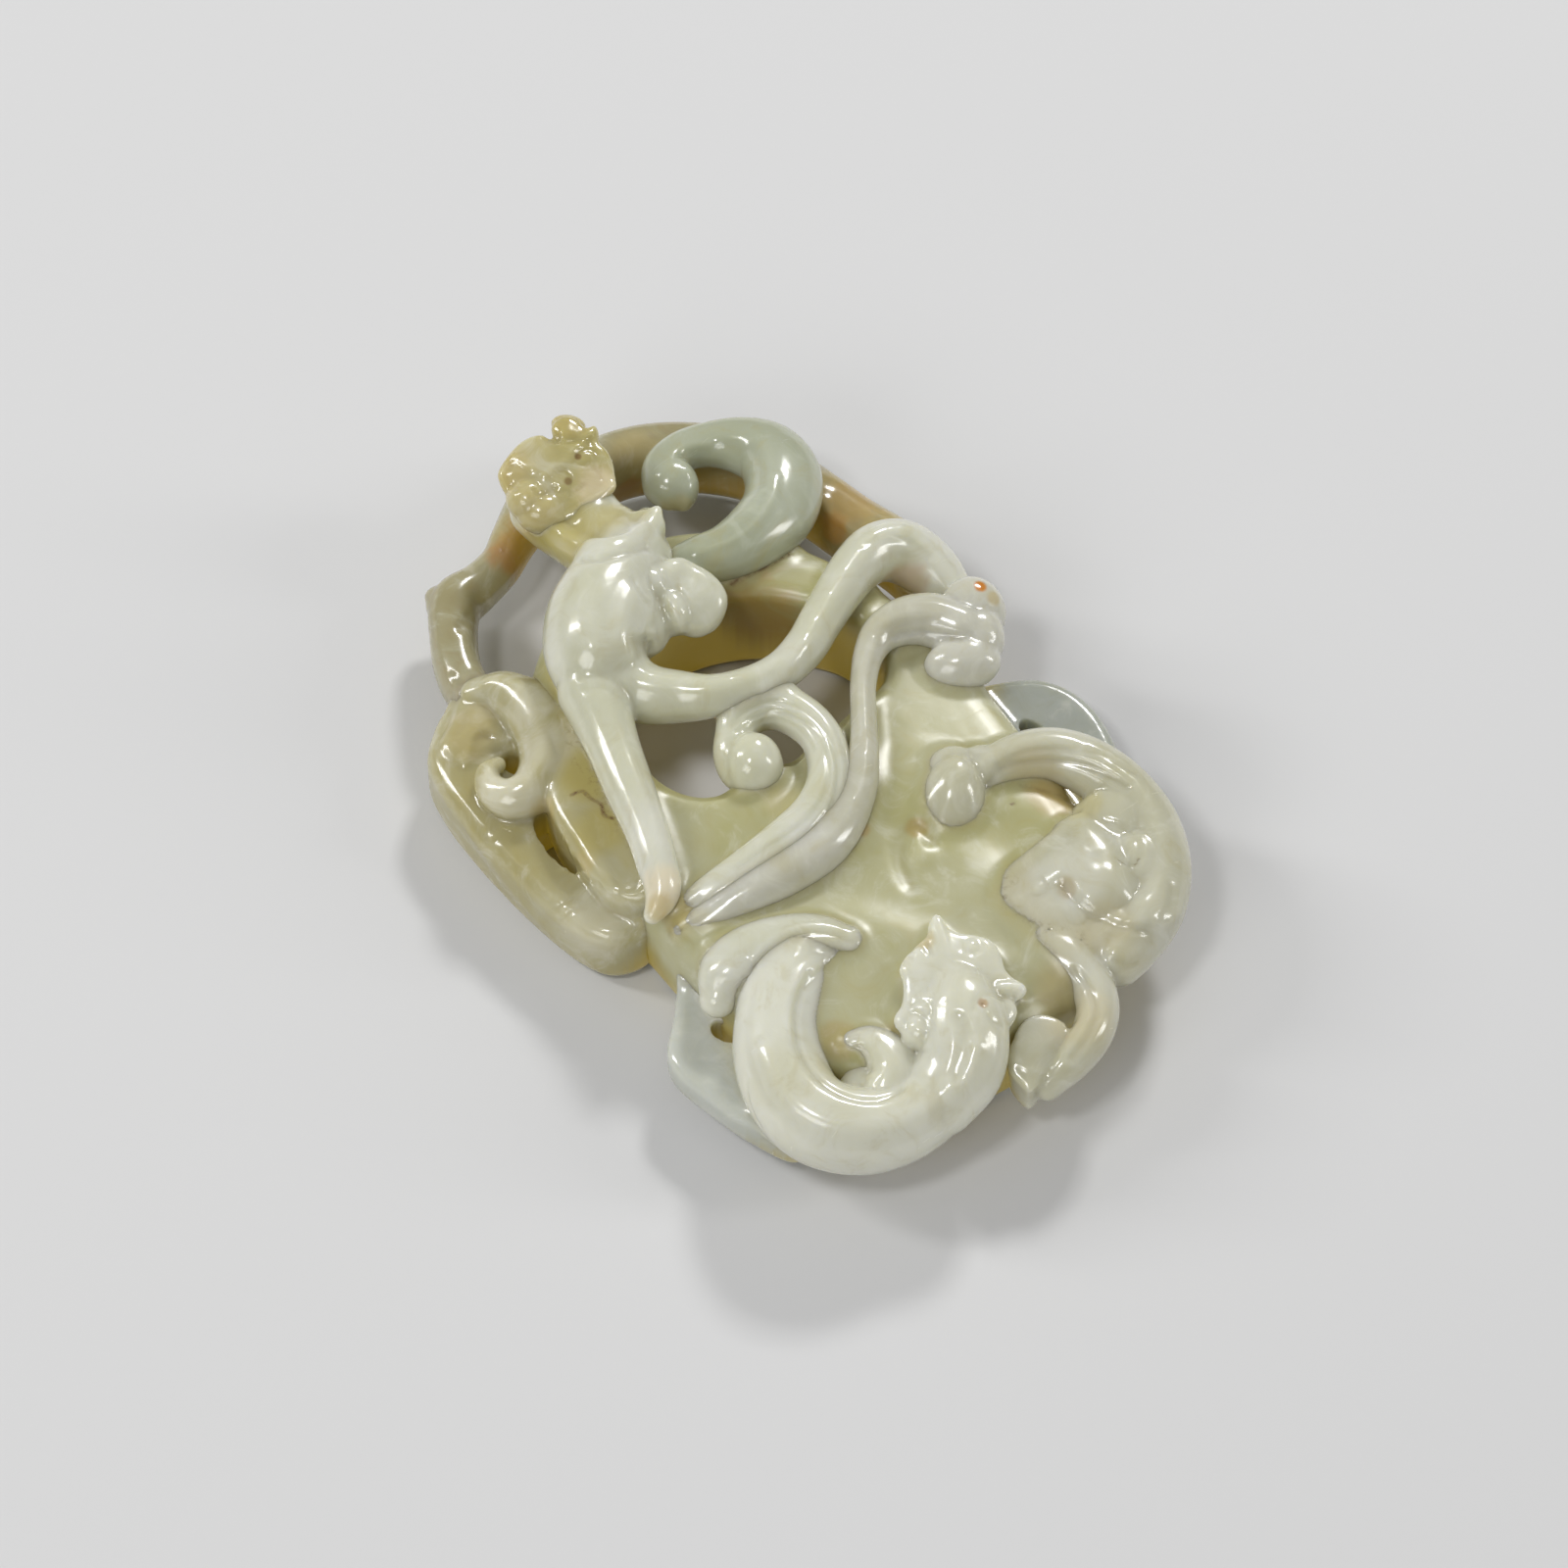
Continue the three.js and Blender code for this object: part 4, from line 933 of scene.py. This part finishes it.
scrollBracket = {
    "grain": 0.2,
    "polish": 5,
    "thickness": 0.0066,
    "rounding": 0.0016,
    "outline": [
        (0.076, -0.34), (0.076, -0.386), (0.063, -0.417), (0.038, -0.437), (0.002, -0.451), (-0.06, -0.464),
        (-0.13, -0.47), (-0.2, -0.467), (-0.248, -0.45), (-0.273, -0.416), (-0.29, -0.38), (-0.298, -0.335),
        (-0.286, -0.285), (-0.25, -0.25), (-0.2, -0.25), (-0.13, -0.28), (-0.05, -0.3), (0.03, -0.31),
    ],
    "spiral": {"girth": 0.004, "depth": 0.004, "sides": 32, "keel": 0.16, "lean": -0.1, "seen": [
        (488, 712, 0.66, 0.7), (512, 708, 0.74, 0.98), (538, 724, 0.78, 1.14), (556, 752, 0.8, 1.22),
        (558, 784, 0.8, 1.18), (542, 808, 0.78, 1.02), (518, 815, 0.76, 0.86), (500, 803, 0.75, 0.66),
        (498, 788, 0.76, 0.5), (508, 781, 0.74, 0.36),
    ]},
    "web": {"girth": 0.0056, "depth": 0.007, "sides": 32, "seen": [
        (628, 880, 0.5, 0.9), (646, 906, 0.5, 1), (658, 930, 0.48, 0.96),
    ]},
    "shelf": {
        "middle": (615, 815, 0.98), "lean": 0.96, "deep": 7, "taper": 0.2, "rounding": 1.3, "crown": 0.2,
        "outline": [
            (556, 716), (552, 745), (552, 776), (556, 806), (566, 832), (584, 861), (603, 890), (626, 912),
            (656, 918), (690, 893), (684, 864), (670, 828), (650, 790), (632, 752), (604, 716),
        ],
    },
    "spiralBreadth": 0.0038,
    "slot": [(-0.108, -0.3), (-0.022, -0.3), (-0.022, -0.382), (-0.108, -0.38)],
    "slotRound": 0.0005,
    "slotBottom": -0.004,
    "slotDepth": 0.02,
    "bowl": (-0.183, -0.336, 0.94, 0.62, 0.5, 1.0, 0.1),
    "pad": {
        "middle": (490, 740, 0.72), "lean": 0.9, "deep": 4, "taper": -0.6, "rounding": 1.2, "crown": 0.5,
        "outline": [
            (468, 712), (456, 736), (446, 760), (474, 788), (490, 776), (504, 764), (524, 762), (534, 738),
            (517, 708), (490, 700),
        ],
    },
    "eye": (-0.181, -0.338, 0.2, 0.42, 0.3, 2.2, 0.1),
    "strokes": [
        ("groove", 0.34, 0, 0.9, (583, 812), (594, 809), (602, 816), (613, 823), (617, 834), (626, 838)),
        ("groove", 0.35, 0.14, 0, (560, 944), (568, 928), (580, 920), (592, 918)),
        ("groove", 0.35, 0.14, 0, (573, 940), (583, 930), (597, 925)),
        ("groove", 0.35, 0.14, 0, (588, 905), (598, 899), (610, 902), (614, 910)),
        ("groove", 0.3, 0.12, 0, (612, 904), (620, 913), (632, 919)),
        ("groove", 0.3, 0.12, 0, (625, 896), (632, 903), (630, 912)),
        ("groove", 0.3, 0.12, 0, (638, 908), (647, 907), (651, 900)),
        ("groove", 0.3, 0.12, 0, (632, 945), (641, 951), (650, 948)),
        ("groove", 0.4, 0.12, 0, (494, 856), (498, 848), (505, 844)),
        ("groove", 0.4, 0.1, 0, (506, 858), (514, 851)),
        ("groove", 0.5, 0.16, 0, (484, 755), (491, 750), (498, 752)),
        ("groove", 0.5, 0.14, 0, (505, 768), (520, 760), (533, 764), (540, 780)),
        ("ridge", 0.7, 0.14, 0, (556, 862), (566, 876), (575, 888)),
        ("groove", 0.4, 0.14, 0, (556, 740), (563, 752), (568, 768)),
        ("ridge", 1.4, 0.12, 0, (450, 800), (480, 850), (520, 905), (560, 950)),
    ],
}


# The slab is cut first, so that the spiral can stand over its bowl
def makeScrollBracket():
    made = scrollBracket
    slab = slabOf(made["outline"], 0, made["thickness"], made["rounding"])
    slot = slabOf(made["slot"], made["slotBottom"], made["slotDepth"], made["slotRound"])
    cutters = [roundCutter(name + "Cutter", made[name], made["spiralBreadth"]) for name in ("bowl", "eye")]
    cutters.append(meshOf(slot, "slotCutter"))
    clay = fusedSlab(slab, made["grain"], cutters)
    layClay(made, ["spiral", "web"], ["pad", "shelf"], clay)
    finishPiece(clay, "scroll_bracket", made, ["scroll_bracket"])


makeScrollBracket()


outerBranch = {
    "grain": 0.22,
    "polish": 6,
    "band": {"girth": 0.0054, "depth": 0.0066, "sides": 32, "square": 0.9, "route": [
        (-0.06, 0.404, 0.54, 0.8), (-0.1, 0.426, 0.54, 0.92), (-0.142, 0.444, 0.53, 1),
        (-0.19, 0.434, 0.52, 1), (-0.24, 0.412, 0.5, 1), (-0.29, 0.397, 0.48, 1), (-0.34, 0.38, 0.46, 1),
        (-0.388, 0.346, 0.46, 1), (-0.426, 0.292, 0.46, 1), (-0.453, 0.23, 0.48, 1),
        (-0.467, 0.168, 0.5, 1), (-0.472, 0.105, 0.5, 1), (-0.468, 0.035, 0.52, 1),
    ], "seen": [
        (545, 520, 0.5, 0.86), (524, 552, 0.5, 0.72), (510, 578, 0.5, 0.66), (488, 600, 0.5, 0.7),
        (466, 618, 0.5, 0.82), (463, 650, 0.5, 0.76), (468, 686, 0.5, 0.74), (484, 716, 0.5, 0.74),
        (505, 745, 0.5, 0.7),
    ]},
    "masses": [(447, 608, 0.5, 1.2, 0.9, 1.6, 0.1), (450, 618, 0.5, 1.3, 1.5, 2.0, 0)],
    "strokes": [
        ("ridge", 0.7, 0.2, 0, (842, 512), (848, 526), (862, 534), (876, 548)),
        ("groove", 0.8, 0.2, 0, (470, 640), (478, 628), (492, 616)),
        ("groove", 0.6, 0.16, 0, (462, 690), (474, 700), (482, 696)),
        ("groove", 0.5, 0.14, 0, (506, 548), (514, 560)),
    ],
}

finishPiece(layClay(outerBranch, ["band"]), "outer_branch", outerBranch, ["outer_branch"])


sideFlanges = {
    "grain": 0.2,
    "polish": 4,
    "rise": 0.002,
    "thickness": 0.0034,
    "rounding": 0.0008,
    "eyeBreadth": 0.0072,
    "upper": [
        (0.018, 0.38), (0.024, 0.425), (0.045, 0.48), (0.075, 0.51), (0.11, 0.52), (0.15, 0.512),
        (0.19, 0.49), (0.23, 0.45), (0.2, 0.33), (0.1, 0.33),
    ],
    "lower": [
        (0.13, -0.33), (0.145, -0.36), (0.175, -0.4), (0.208, -0.448), (0.232, -0.458), (0.29, -0.442),
        (0.335, -0.422), (0.385, -0.378), (0.35, -0.3), (0.2, -0.3),
    ],
    "upperEye": (0.1, 0.405, 0.4, 0.2, 0.12, 1, 0.02),
    "lowerEye": (0.226, -0.35, 0.4, 0.2, 0.12, 1, 0.1),
    "strokes": [
        ("groove", 1.6, 0.14, 0, (705, 1010), (712, 1040), (720, 1070)),
    ],
}


def makeFlange(side):
    made = sideFlanges
    name = side + "_side_flange"
    slab = slabOf(made[side], made["rise"], made["thickness"], made["rounding"])
    cutters = [roundCutter("eyeCutter", made[side + "Eye"], made["eyeBreadth"])]
    finishPiece(fusedSlab(slab, made["grain"]), name, made, [name], cutters)


makeFlange("upper")
makeFlange("lower")


# Where the carved elements meet, and how hollow and sunk the skin is, which the painted shade and painted
# light follow
meeting = {
    "reach": 0.0014,
    "fillet": 0.00045,
    "filletTilt": 0.4,
    "hollowSteps": 24,
    "hollowShare": 0.6,
    "hollowScale": 0.0004,
    "hillCell": 0.0005,
    "hillMargin": 12,
    "hillSteps": 22,
    "deepRecess": 0.006,
    "openLevel": 1.2,
    "openTilt": 1.6,
}


# How hollow the skin is at each point: above zero in a recess, below on a ridge
def hollowOf(piece, places, normals):
    steps = meeting["hollowSteps"]
    smooth = [spread(piece.data, column, steps, meeting["hollowShare"]) for column in places.T]
    return ((np.array(smooth).T - places) * normals).sum(1) / meeting["hollowScale"]


# The cells of a height map that places lie over
def cellsOf(places, across):
    cells = (places[:, :2] / meeting["hillCell"] + across / 2).astype(int)
    return tuple(np.clip(cells, 0, across - 1).T)


# The mean height of the stone's top round each place, cell by cell
def hillsOf(pieces):
    across = int(stone["length"] / meeting["hillCell"]) + meeting["hillMargin"]
    hills = np.zeros((across, across))
    for piece in pieces:
        places = readSkin(piece)[0]
        np.maximum.at(hills, cellsOf(places, across), places[:, 2])
    for _ in range(meeting["hillSteps"]):
        for axis in (0, 1):
            hills = (np.roll(hills, 1, axis) + hills + np.roll(hills, -1, axis)) / 3
    return hills


# How far each point lies below that mean height, as a share of the depth of a deep recess
def sunkOf(places, hills):
    return (hills[cellsOf(places, len(hills))] - places[:, 2]) / meeting["deepRecess"]


# How close each point lies to the other elements: 1 where they touch, 0 out of reach
def touchOf(piece, places, elements):
    reach = meeting["reach"]
    close = np.full(len(places), reach)
    for other, tree, low, high in elements:
        if other is piece:
            continue
        for index in indexInBox(places, low, high, reach):
            gap = tree.find_nearest(places[index], close[index])[3]
            if gap is not None:
                close[index] = gap
    return 1 - close / reach


# Fillets each element up to its neighbours, and notes the touch, hollow and sunk values that the painted
# shade, painted light and painted glow follow
def joinElements():
    elements = []
    for piece in finishedPieces:
        corners = np.array(piece.bound_box)
        elements.append((piece, treeOf(piece), corners.min(0), corners.max(0)))
    hills = hillsOf(finishedPieces)
    for piece in finishedPieces:
        places, normals = readSkin(piece)
        touch = touchOf(piece, places, elements)
        onTop = np.clip(normals[:, 2] + meeting["filletTilt"], 0, 1)
        places = places + normals * (meeting["fillet"] * onTop * touch**2)[:, None]
        writeSkin(piece, places)
        setAttribute(piece, "touch", touch)
        setAttribute(piece, "hollow", hollowOf(piece, places, normals))
        open = np.clip(meeting["openLevel"] + meeting["openTilt"] * normals[:, 2], 0, 1)
        setAttribute(piece, "sunk", sunkOf(places, hills) * open)
        for polygon in piece.data.polygons:
            polygon.use_smooth = True


joinElements()
print("elements joined")


# Shader sums written as Python
class Wire:
    def __init__(self, recipe, socket):
        self.recipe = recipe
        self.socket = socket

    def sum(self, operation, *values):
        return self.recipe.node("ShaderNodeMath", {"operation": operation}, dict(enumerate(values)))

    def __add__(self, other):
        return self.sum("ADD", self, other)

    def __radd__(self, other):
        return self.sum("ADD", other, self)

    def __sub__(self, other):
        return self.sum("SUBTRACT", self, other)

    def __rsub__(self, other):
        return self.sum("SUBTRACT", other, self)

    def __mul__(self, other):
        return self.sum("MULTIPLY", self, other)

    def __rmul__(self, other):
        return self.sum("MULTIPLY", other, self)

    # 0 at the first value, 1 at the second, smooth between them
    def between(self, low, high):
        return self.recipe.node(
            "ShaderNodeMapRange", {"interpolation_type": "SMOOTHSTEP"},
            {"Value": self, "From Min": low, "From Max": high, "To Min": 0, "To Max": 1},
        )


class Recipe:
    def __init__(self, name):
        self.material = bpy.data.materials.new(name)
        self.material.use_nodes = True
        self.tree = self.material.node_tree
        self.tree.nodes.clear()

    # Any node: its kind, its settings, the values or wires of its sockets, and which output is wanted
    def node(self, kind, settings=None, sockets=None, output=0):
        made = self.tree.nodes.new(kind)
        for key, value in (settings or {}).items():
            setattr(made, key, value)
        for key, value in (sockets or {}).items():
            if isinstance(value, Wire):
                self.tree.links.new(value.socket, made.inputs[key])
            else:
                made.inputs[key].default_value = value
        return Wire(self, made.outputs[output]) if made.outputs else made

    def blend(self, share, first, second):
        return self.node(
            "ShaderNodeMix", {"data_type": "RGBA", "blend_type": "MIX", "clamp_factor": True},
            {0: share, 6: first, 7: second}, 2,
        )

    def noise(self, place, size, detail=3, rough=0.5, twist=0):
        return self.node("ShaderNodeTexNoise", {}, {
            "Vector": place, "Scale": 1 / size, "Detail": detail, "Roughness": rough, "Distortion": twist,
        })

    def stretched(self, place, scale, turn):
        return self.node("ShaderNodeMapping", {}, {"Vector": place, "Scale": scale, "Rotation": turn})

    # 1 round a spot, fading out to 0 at its reach
    def near(self, place, spot, reach):
        away = self.node(
            "ShaderNodeVectorMath", {"operation": "DISTANCE"}, {0: place, 1: tuple(spot)}, "Value")
        return 1 - away.between(reach * 0.25, reach)


def tint(red, green, blue):
    def linear(value):
        value /= 255
        return value / 12.92 if value <= 0.04045 else ((value + 0.055) / 1.055) ** 2.4
    return (linear(red), linear(green), linear(blue), 1)


# Jade: colours of the stone and its skin, its painted shade, painted light and painted glow, and how it is
# polished
jade = {
    "body": tint(205, 205, 182),
    "cloud": tint(214, 214, 200),
    # deep: the colour of darker wisps in the stone, and also painted shade in recesses and where elements
    # touch
    "deep": tint(172, 157, 84),
    # crest: the colour of paler wisps in the stone, and also painted light on ridges
    "crest": tint(228, 228, 218),
    # A painted glow in sunk recesses, standing in for light that passes through the stone
    "paintedGlowColour": tint(186, 156, 44),
    "paintedGlowStrength": 0.16,
    "soil": tint(110, 78, 32),
    "roughness": 0.18,
    "coat": 0.3,
    "coatRoughness": 0.05,
    "ior": 1.61,
    "glow": 0.85,
    "glowDepth": 0.0024,
    "glowRadius": (1.0, 0.95, 0.72),
    # patterns in the stone: size in metres, detail, roughness, twist
    "patterns": {
        "clouds": (0.014, 3, 0.55, 0.6),
        "wisps": (0.004, 6, 0.62, 1.4),
        "fleck": (0.0007, 4, 0.7, 0),
        "wheel": (0.0035, 2, 0.4, 0),
    },
    # what a colour follows, where it begins, where it is full, its strength, the colour
    "clouding": [
        ("clouds", 0.38, 0.66, 1, "cloud"),
        ("wisps", 0.5, 0.72, 0.3, "crest"), ("wisps", 0.5, 0.3, 0.2, "deep"),
    ],
    # The shading is painted shade, the deep colour in sunk places, hollows and where elements touch, and
    # painted light, the crest colour on ridges
    "shading": [
        ("sunk", 0.12, 1.0, 0.85, "deep"), ("hollow", 0.1, 1.1, 0.6, "deep"),
        ("hollow", -0.15, -1.1, 0.5, "crest"), ("touch", 0.35, 1, 0.3, "deep"),
    ],
    "spotRagged": 1.4,
    "spotEdge": (0.25, 1.05),
    "scratchSize": 0.02,
    "scratchStretch": (30, 1.5, 6),
    "scratchTurn": (0.3, 0.1, 0.7),
    "bumpStrength": 0.35,
    "bumpHeight": 0.00022,
}
# Stain colours; straw and olive are also laid as painted shade
stainAndShadeTints = {
    "honey": tint(190, 168, 100),
    "russet": tint(176, 126, 56),
    "pale": tint(216, 213, 192),
    "straw": tint(182, 170, 100),
    "orange": tint(196, 126, 14),
    "brown": tint(120, 84, 38),
    "olive": tint(170, 138, 52),
    "cream": tint(230, 216, 186),
}


# One polished stone with clouds and stains at chosen spots, with painted shade in its hollows, sunk places
# and joins, painted light on its ridges and a painted glow in its recesses
def makeJade(name, spots=(), **changes):
    looks = {**jade, **changes}
    mix = Recipe(name)
    place = mix.node("ShaderNodeTexCoord", output="Object")
    masks = {}
    for noted in ("hollow", "touch", "dirt", "sunk"):
        masks[noted] = mix.node("ShaderNodeAttribute", {"attribute_name": noted}, output="Fac")
    for pattern, drawn in looks["patterns"].items():
        masks[pattern] = mix.noise(place, *drawn)

    def tinted(colour, layers):
        for mask, low, high, share, shade in layers:
            colour = mix.blend(masks[mask].between(low, high) * share, colour, looks[shade])
        return colour

    colour = tinted(looks["body"], looks["clouding"])
    # Stains at chosen spots, and painted shade where the straw and olive spots are listed as such
    for spot, reach, spotTint, strength in spots:
        ragged = mix.near(place, spot, reach * millimetre) + (masks["wisps"] - 0.5) * looks["spotRagged"]
        colour = mix.blend(ragged.between(*looks["spotEdge"]) * strength, colour, stainAndShadeTints[spotTint])
    # Painted shade in sunk places, hollows and joins, and painted light on ridges
    colour = tinted(colour, looks["shading"])
    grime = masks["touch"].between(0.8, 1) * masks["fleck"].between(0.5, 0.68) * 0.3
    soiled = masks["dirt"].between(0.05, 0.8) * (0.3 + 0.7 * masks["fleck"].between(0.4, 0.6))
    for dirt in (grime, soiled):
        colour = mix.blend(dirt, colour, looks["soil"])

    brushed = mix.stretched(place, looks["scratchStretch"], looks["scratchTurn"])
    scratches = mix.noise(brushed, looks["scratchSize"], 5, 0.7).between(0.56, 0.74)
    rough = looks["roughness"] + 0.06 * (masks["clouds"] - 0.5) + 0.12 * scratches + 0.2 * soiled
    relief = masks["wheel"] * 0.8 + masks["wisps"] * 0.12 + scratches * 0.03
    bump = mix.node("ShaderNodeBump", {}, {
        "Strength": looks["bumpStrength"], "Distance": looks["bumpHeight"], "Height": relief,
    }, "Normal")
    shader = mix.node("ShaderNodeBsdfPrincipled", {"subsurface_method": "RANDOM_WALK"}, {
        "Base Color": colour,
        "Roughness": rough,
        "IOR": looks["ior"],
        "Normal": bump,
        "Subsurface Weight": looks["glow"],
        "Subsurface Radius": looks["glowRadius"],
        "Subsurface Scale": looks["glowDepth"],
        "Coat Weight": looks["coat"],
        "Coat Roughness": looks["coatRoughness"],
        # Painted glow: the sunk recesses emit light of their own
        "Emission Color": mix.blend(masks["sunk"].between(0.2, 1.1), (0, 0, 0, 1), looks["paintedGlowColour"]),
        "Emission Strength": looks["paintedGlowStrength"],
    })
    mix.node("ShaderNodeOutputMaterial", {}, {"Surface": shader})
    return mix.material


# The stained places, and places of painted shade, seen at pixels of the photograph: across, down, reach in
# millimetres, stain or shade tint, strength
stainedAndShadedPlaces = {
    "jade_climbing_dragon_head": [
        (512, 482, 4, "honey", 0.35), (578, 428, 3.5, "honey", 0.3), (590, 466, 0.55, "brown", 0.8),
        (580, 491, 0.6, "brown", 0.6), (612, 500, 3.6, "cream", 0.6), (540, 526, 4, "honey", 0.2),
    ],
    "jade_outer_branch": [
        (522, 564, 3.6, "russet", 0.7), (512, 540, 3, "honey", 0.3), (860, 505, 6, "honey", 0.6),
        (868, 512, 5, "russet", 0.25), (850, 540, 2.6, "russet", 0.6), (905, 550, 6, "honey", 0.5),
        (650, 470, 5, "honey", 0.4), (640, 505, 3.4, "russet", 0.6), (960, 590, 4, "russet", 0.3),
    ],
    "jade_scroll_bracket": [
        (560, 760, 4.6, "pale", 0.5), (530, 812, 4.6, "pale", 0.6), (540, 716, 4, "pale", 0.5),
        (505, 800, 3.4, "pale", 0.7), (480, 745, 4, "honey", 0.3), (560, 828, 2.4, "honey", 0.5),
        (596, 880, 2, "honey", 0.4), (600, 950, 6, "pale", 0.5), (600, 790, 4.2, "straw", 0.75),
        # The two straw spots on the shelf, at the end of this list, are painted shade
        (612, 848, 3.8, "straw", 0.6),
    ],
    "jade_climbing_dragon_body": [
        (678, 912, 4.0, "cream", 0.6), (672, 926, 2, "honey", 0.5), (925, 592, 3.4, "russet", 0.4),
        # The straw spots on the neck are painted shade under the head
        (545, 530, 6, "straw", 0.8), (572, 545, 6, "straw", 0.75), (606, 533, 5, "straw", 0.5),
        (640, 526, 3.6, "straw", 0.45),
    ],
    "jade_fungus_scroll": [(1001, 598, 1.0, "orange", 1.0), (1014, 610, 1.2, "honey", 0.5)],
    "jade_pierced_plate": [
        # The olive spots are painted shade in the bore and in the recesses round the relief
        (620, 800, 7, "honey", 0.25), (760, 640, 9, "olive", 0.75), (800, 670, 8, "olive", 0.7),
        (720, 670, 7, "olive", 0.7), (690, 930, 3, "honey", 0.5), (800, 820, 3, "honey", 0.2),
        (1090, 1010, 5, "olive", 0.3), (880, 845, 1.2, "russet", 0.5), (935, 845, 1.6, "olive", 0.5),
        (1075, 810, 4, "olive", 0.6), (900, 690, 4, "olive", 0.5), (855, 1060, 3, "olive", 0.35),
        (920, 1060, 3, "olive", 0.35),
    ],
    "jade_mane_curl": [(692, 520, 2.6, "honey", 0.35)],
    "jade_coiled_dragon_body": [
        (943, 960, 1.6, "honey", 0.5), (1003, 1024, 0.7, "russet", 0.5), (866, 1078, 1.6, "honey", 0.2),
    ],
    "jade_far_dragon_body": [
        (1100, 818, 3, "straw", 0.4), (1060, 805, 4, "honey", 0.3), (1089, 905, 1.6, "olive", 0.3),
        (1100, 1040, 5, "honey", 0.25), (1130, 945, 4, "honey", 0.2),
    ],
}

# How an element's stone differs from the rest
tones = {
    "jade_pierced_plate": {
        "body": tint(176, 173, 124), "cloud": tint(186, 184, 148),
        "roughness": 0.32, "coat": 0.05, "coatRoughness": 0.3,
    },
    "jade_climbing_dragon_head": {"body": tint(175, 166, 112), "cloud": tint(187, 178, 132)},
    "jade_outer_branch": {
        "body": tint(160, 152, 114), "cloud": tint(170, 165, 134), "deep": tint(144, 112, 46),
    },
    "jade_mane_curl": {
        "body": tint(172, 176, 152), "cloud": tint(183, 187, 167), "crest": tint(204, 208, 192),
    },
    "jade_fungus_scroll": {"body": tint(192, 190, 170), "cloud": tint(202, 201, 188)},
    "jade_far_dragon_body": {"body": tint(193, 191, 166), "cloud": tint(204, 203, 186)},
    "jade_coiled_dragon_body": {"body": tint(212, 211, 190), "cloud": tint(221, 221, 207)},
    "jade_upper_side_flange": {
        "body": tint(166, 170, 160), "cloud": tint(176, 180, 172), "deep": tint(150, 146, 104),
    },
    "jade_lower_side_flange": {
        "body": tint(186, 189, 176), "cloud": tint(196, 199, 190), "deep": tint(160, 154, 106),
    },
    # The bracket's darker tone is partly its own and partly painted shade cast by the climbing dragon
    "jade_scroll_bracket": {"body": tint(174, 166, 120), "cloud": tint(186, 181, 146)},
}


def dressPiece(piece):
    tree = treeOf(piece)
    spots = []
    for across, down, reach, spotTint, strength in stainedAndShadedPlaces.get(piece.name, []):
        spots.append((strokePath(tree, [(across, down)])[0], reach, spotTint, strength))
    name = piece.name.replace("jade_", "stone_")
    piece.data.materials.clear()
    piece.data.materials.append(makeJade(name, spots, **tones.get(piece.name, {})))


for piece in finishedPieces:
    dressPiece(piece)
print("stone dressed")


# Studio: a pale floor and softboxes, each set by where it stands round the stone
studio = {
    "floor": tint(214, 214, 214),
    "floorSize": 3.0,
    "floorRoughness": 0.8,
    "mottle": tint(200, 200, 200),
    "mottleSize": 0.0012,
    "mottleStrength": 0.04,
    "air": 0.23,
    "softboxes": [
        # name, azimuth, elevation, distance, width, height, watts
        ("keyBehind", 215, 40, 0.75, 0.13, 0.09, 2.3),
        ("leftBox", 310, 35, 0.7, 0.1, 0.3, 1.4),
        ("rightBox", 141, 27, 0.7, 0.12, 0.3, 0.95),
        ("frontBox", 14, 63, 0.8, 0.12, 0.12, 1.2),
        ("nearBox", 20, 32, 0.8, 0.4, 0.3, 1.3),
    ],
}


def addSoftbox(name, azimuth, elevation, distance, wide, high, watts):
    lamp = bpy.data.lights.new(name, "AREA")
    lamp.shape = "RECTANGLE"
    lamp.size = wide
    lamp.size_y = high
    lamp.energy = watts
    out = wayTo(azimuth, elevation)
    box = bpy.data.objects.new(name, lamp)
    box.location = lookAt + out * distance
    box.rotation_euler = out.to_track_quat("Z", "Y").to_euler()
    bpy.context.scene.collection.objects.link(box)


def makeStudio():
    ground = bmesh.new()
    bmesh.ops.create_grid(ground, x_segments=1, y_segments=1, size=studio["floorSize"] / 2)
    floor = meshOf(ground, "studioFloor")
    paint = Recipe("palePaper")
    paper = paint.node("ShaderNodeTexCoord", output="Object")
    mottle = paint.noise(paper, studio["mottleSize"], 2) * studio["mottleStrength"]
    shader = paint.node("ShaderNodeBsdfPrincipled", {}, {
        "Base Color": paint.blend(mottle, studio["floor"], studio["mottle"]),
        "Roughness": studio["floorRoughness"],
    })
    paint.node("ShaderNodeOutputMaterial", {}, {"Surface": shader})
    floor.data.materials.append(paint.material)
    for softbox in studio["softboxes"]:
        addSoftbox(*softbox)
    world = bpy.data.worlds.new("studioAir")
    world.use_nodes = True
    air = world.node_tree.nodes["Background"].inputs
    air["Color"].default_value = (1, 1, 1, 1)
    air["Strength"].default_value = studio["air"]
    bpy.context.scene.world = world
    bpy.context.scene.view_settings.view_transform = "Standard"


makeStudio()
print("studio lit")
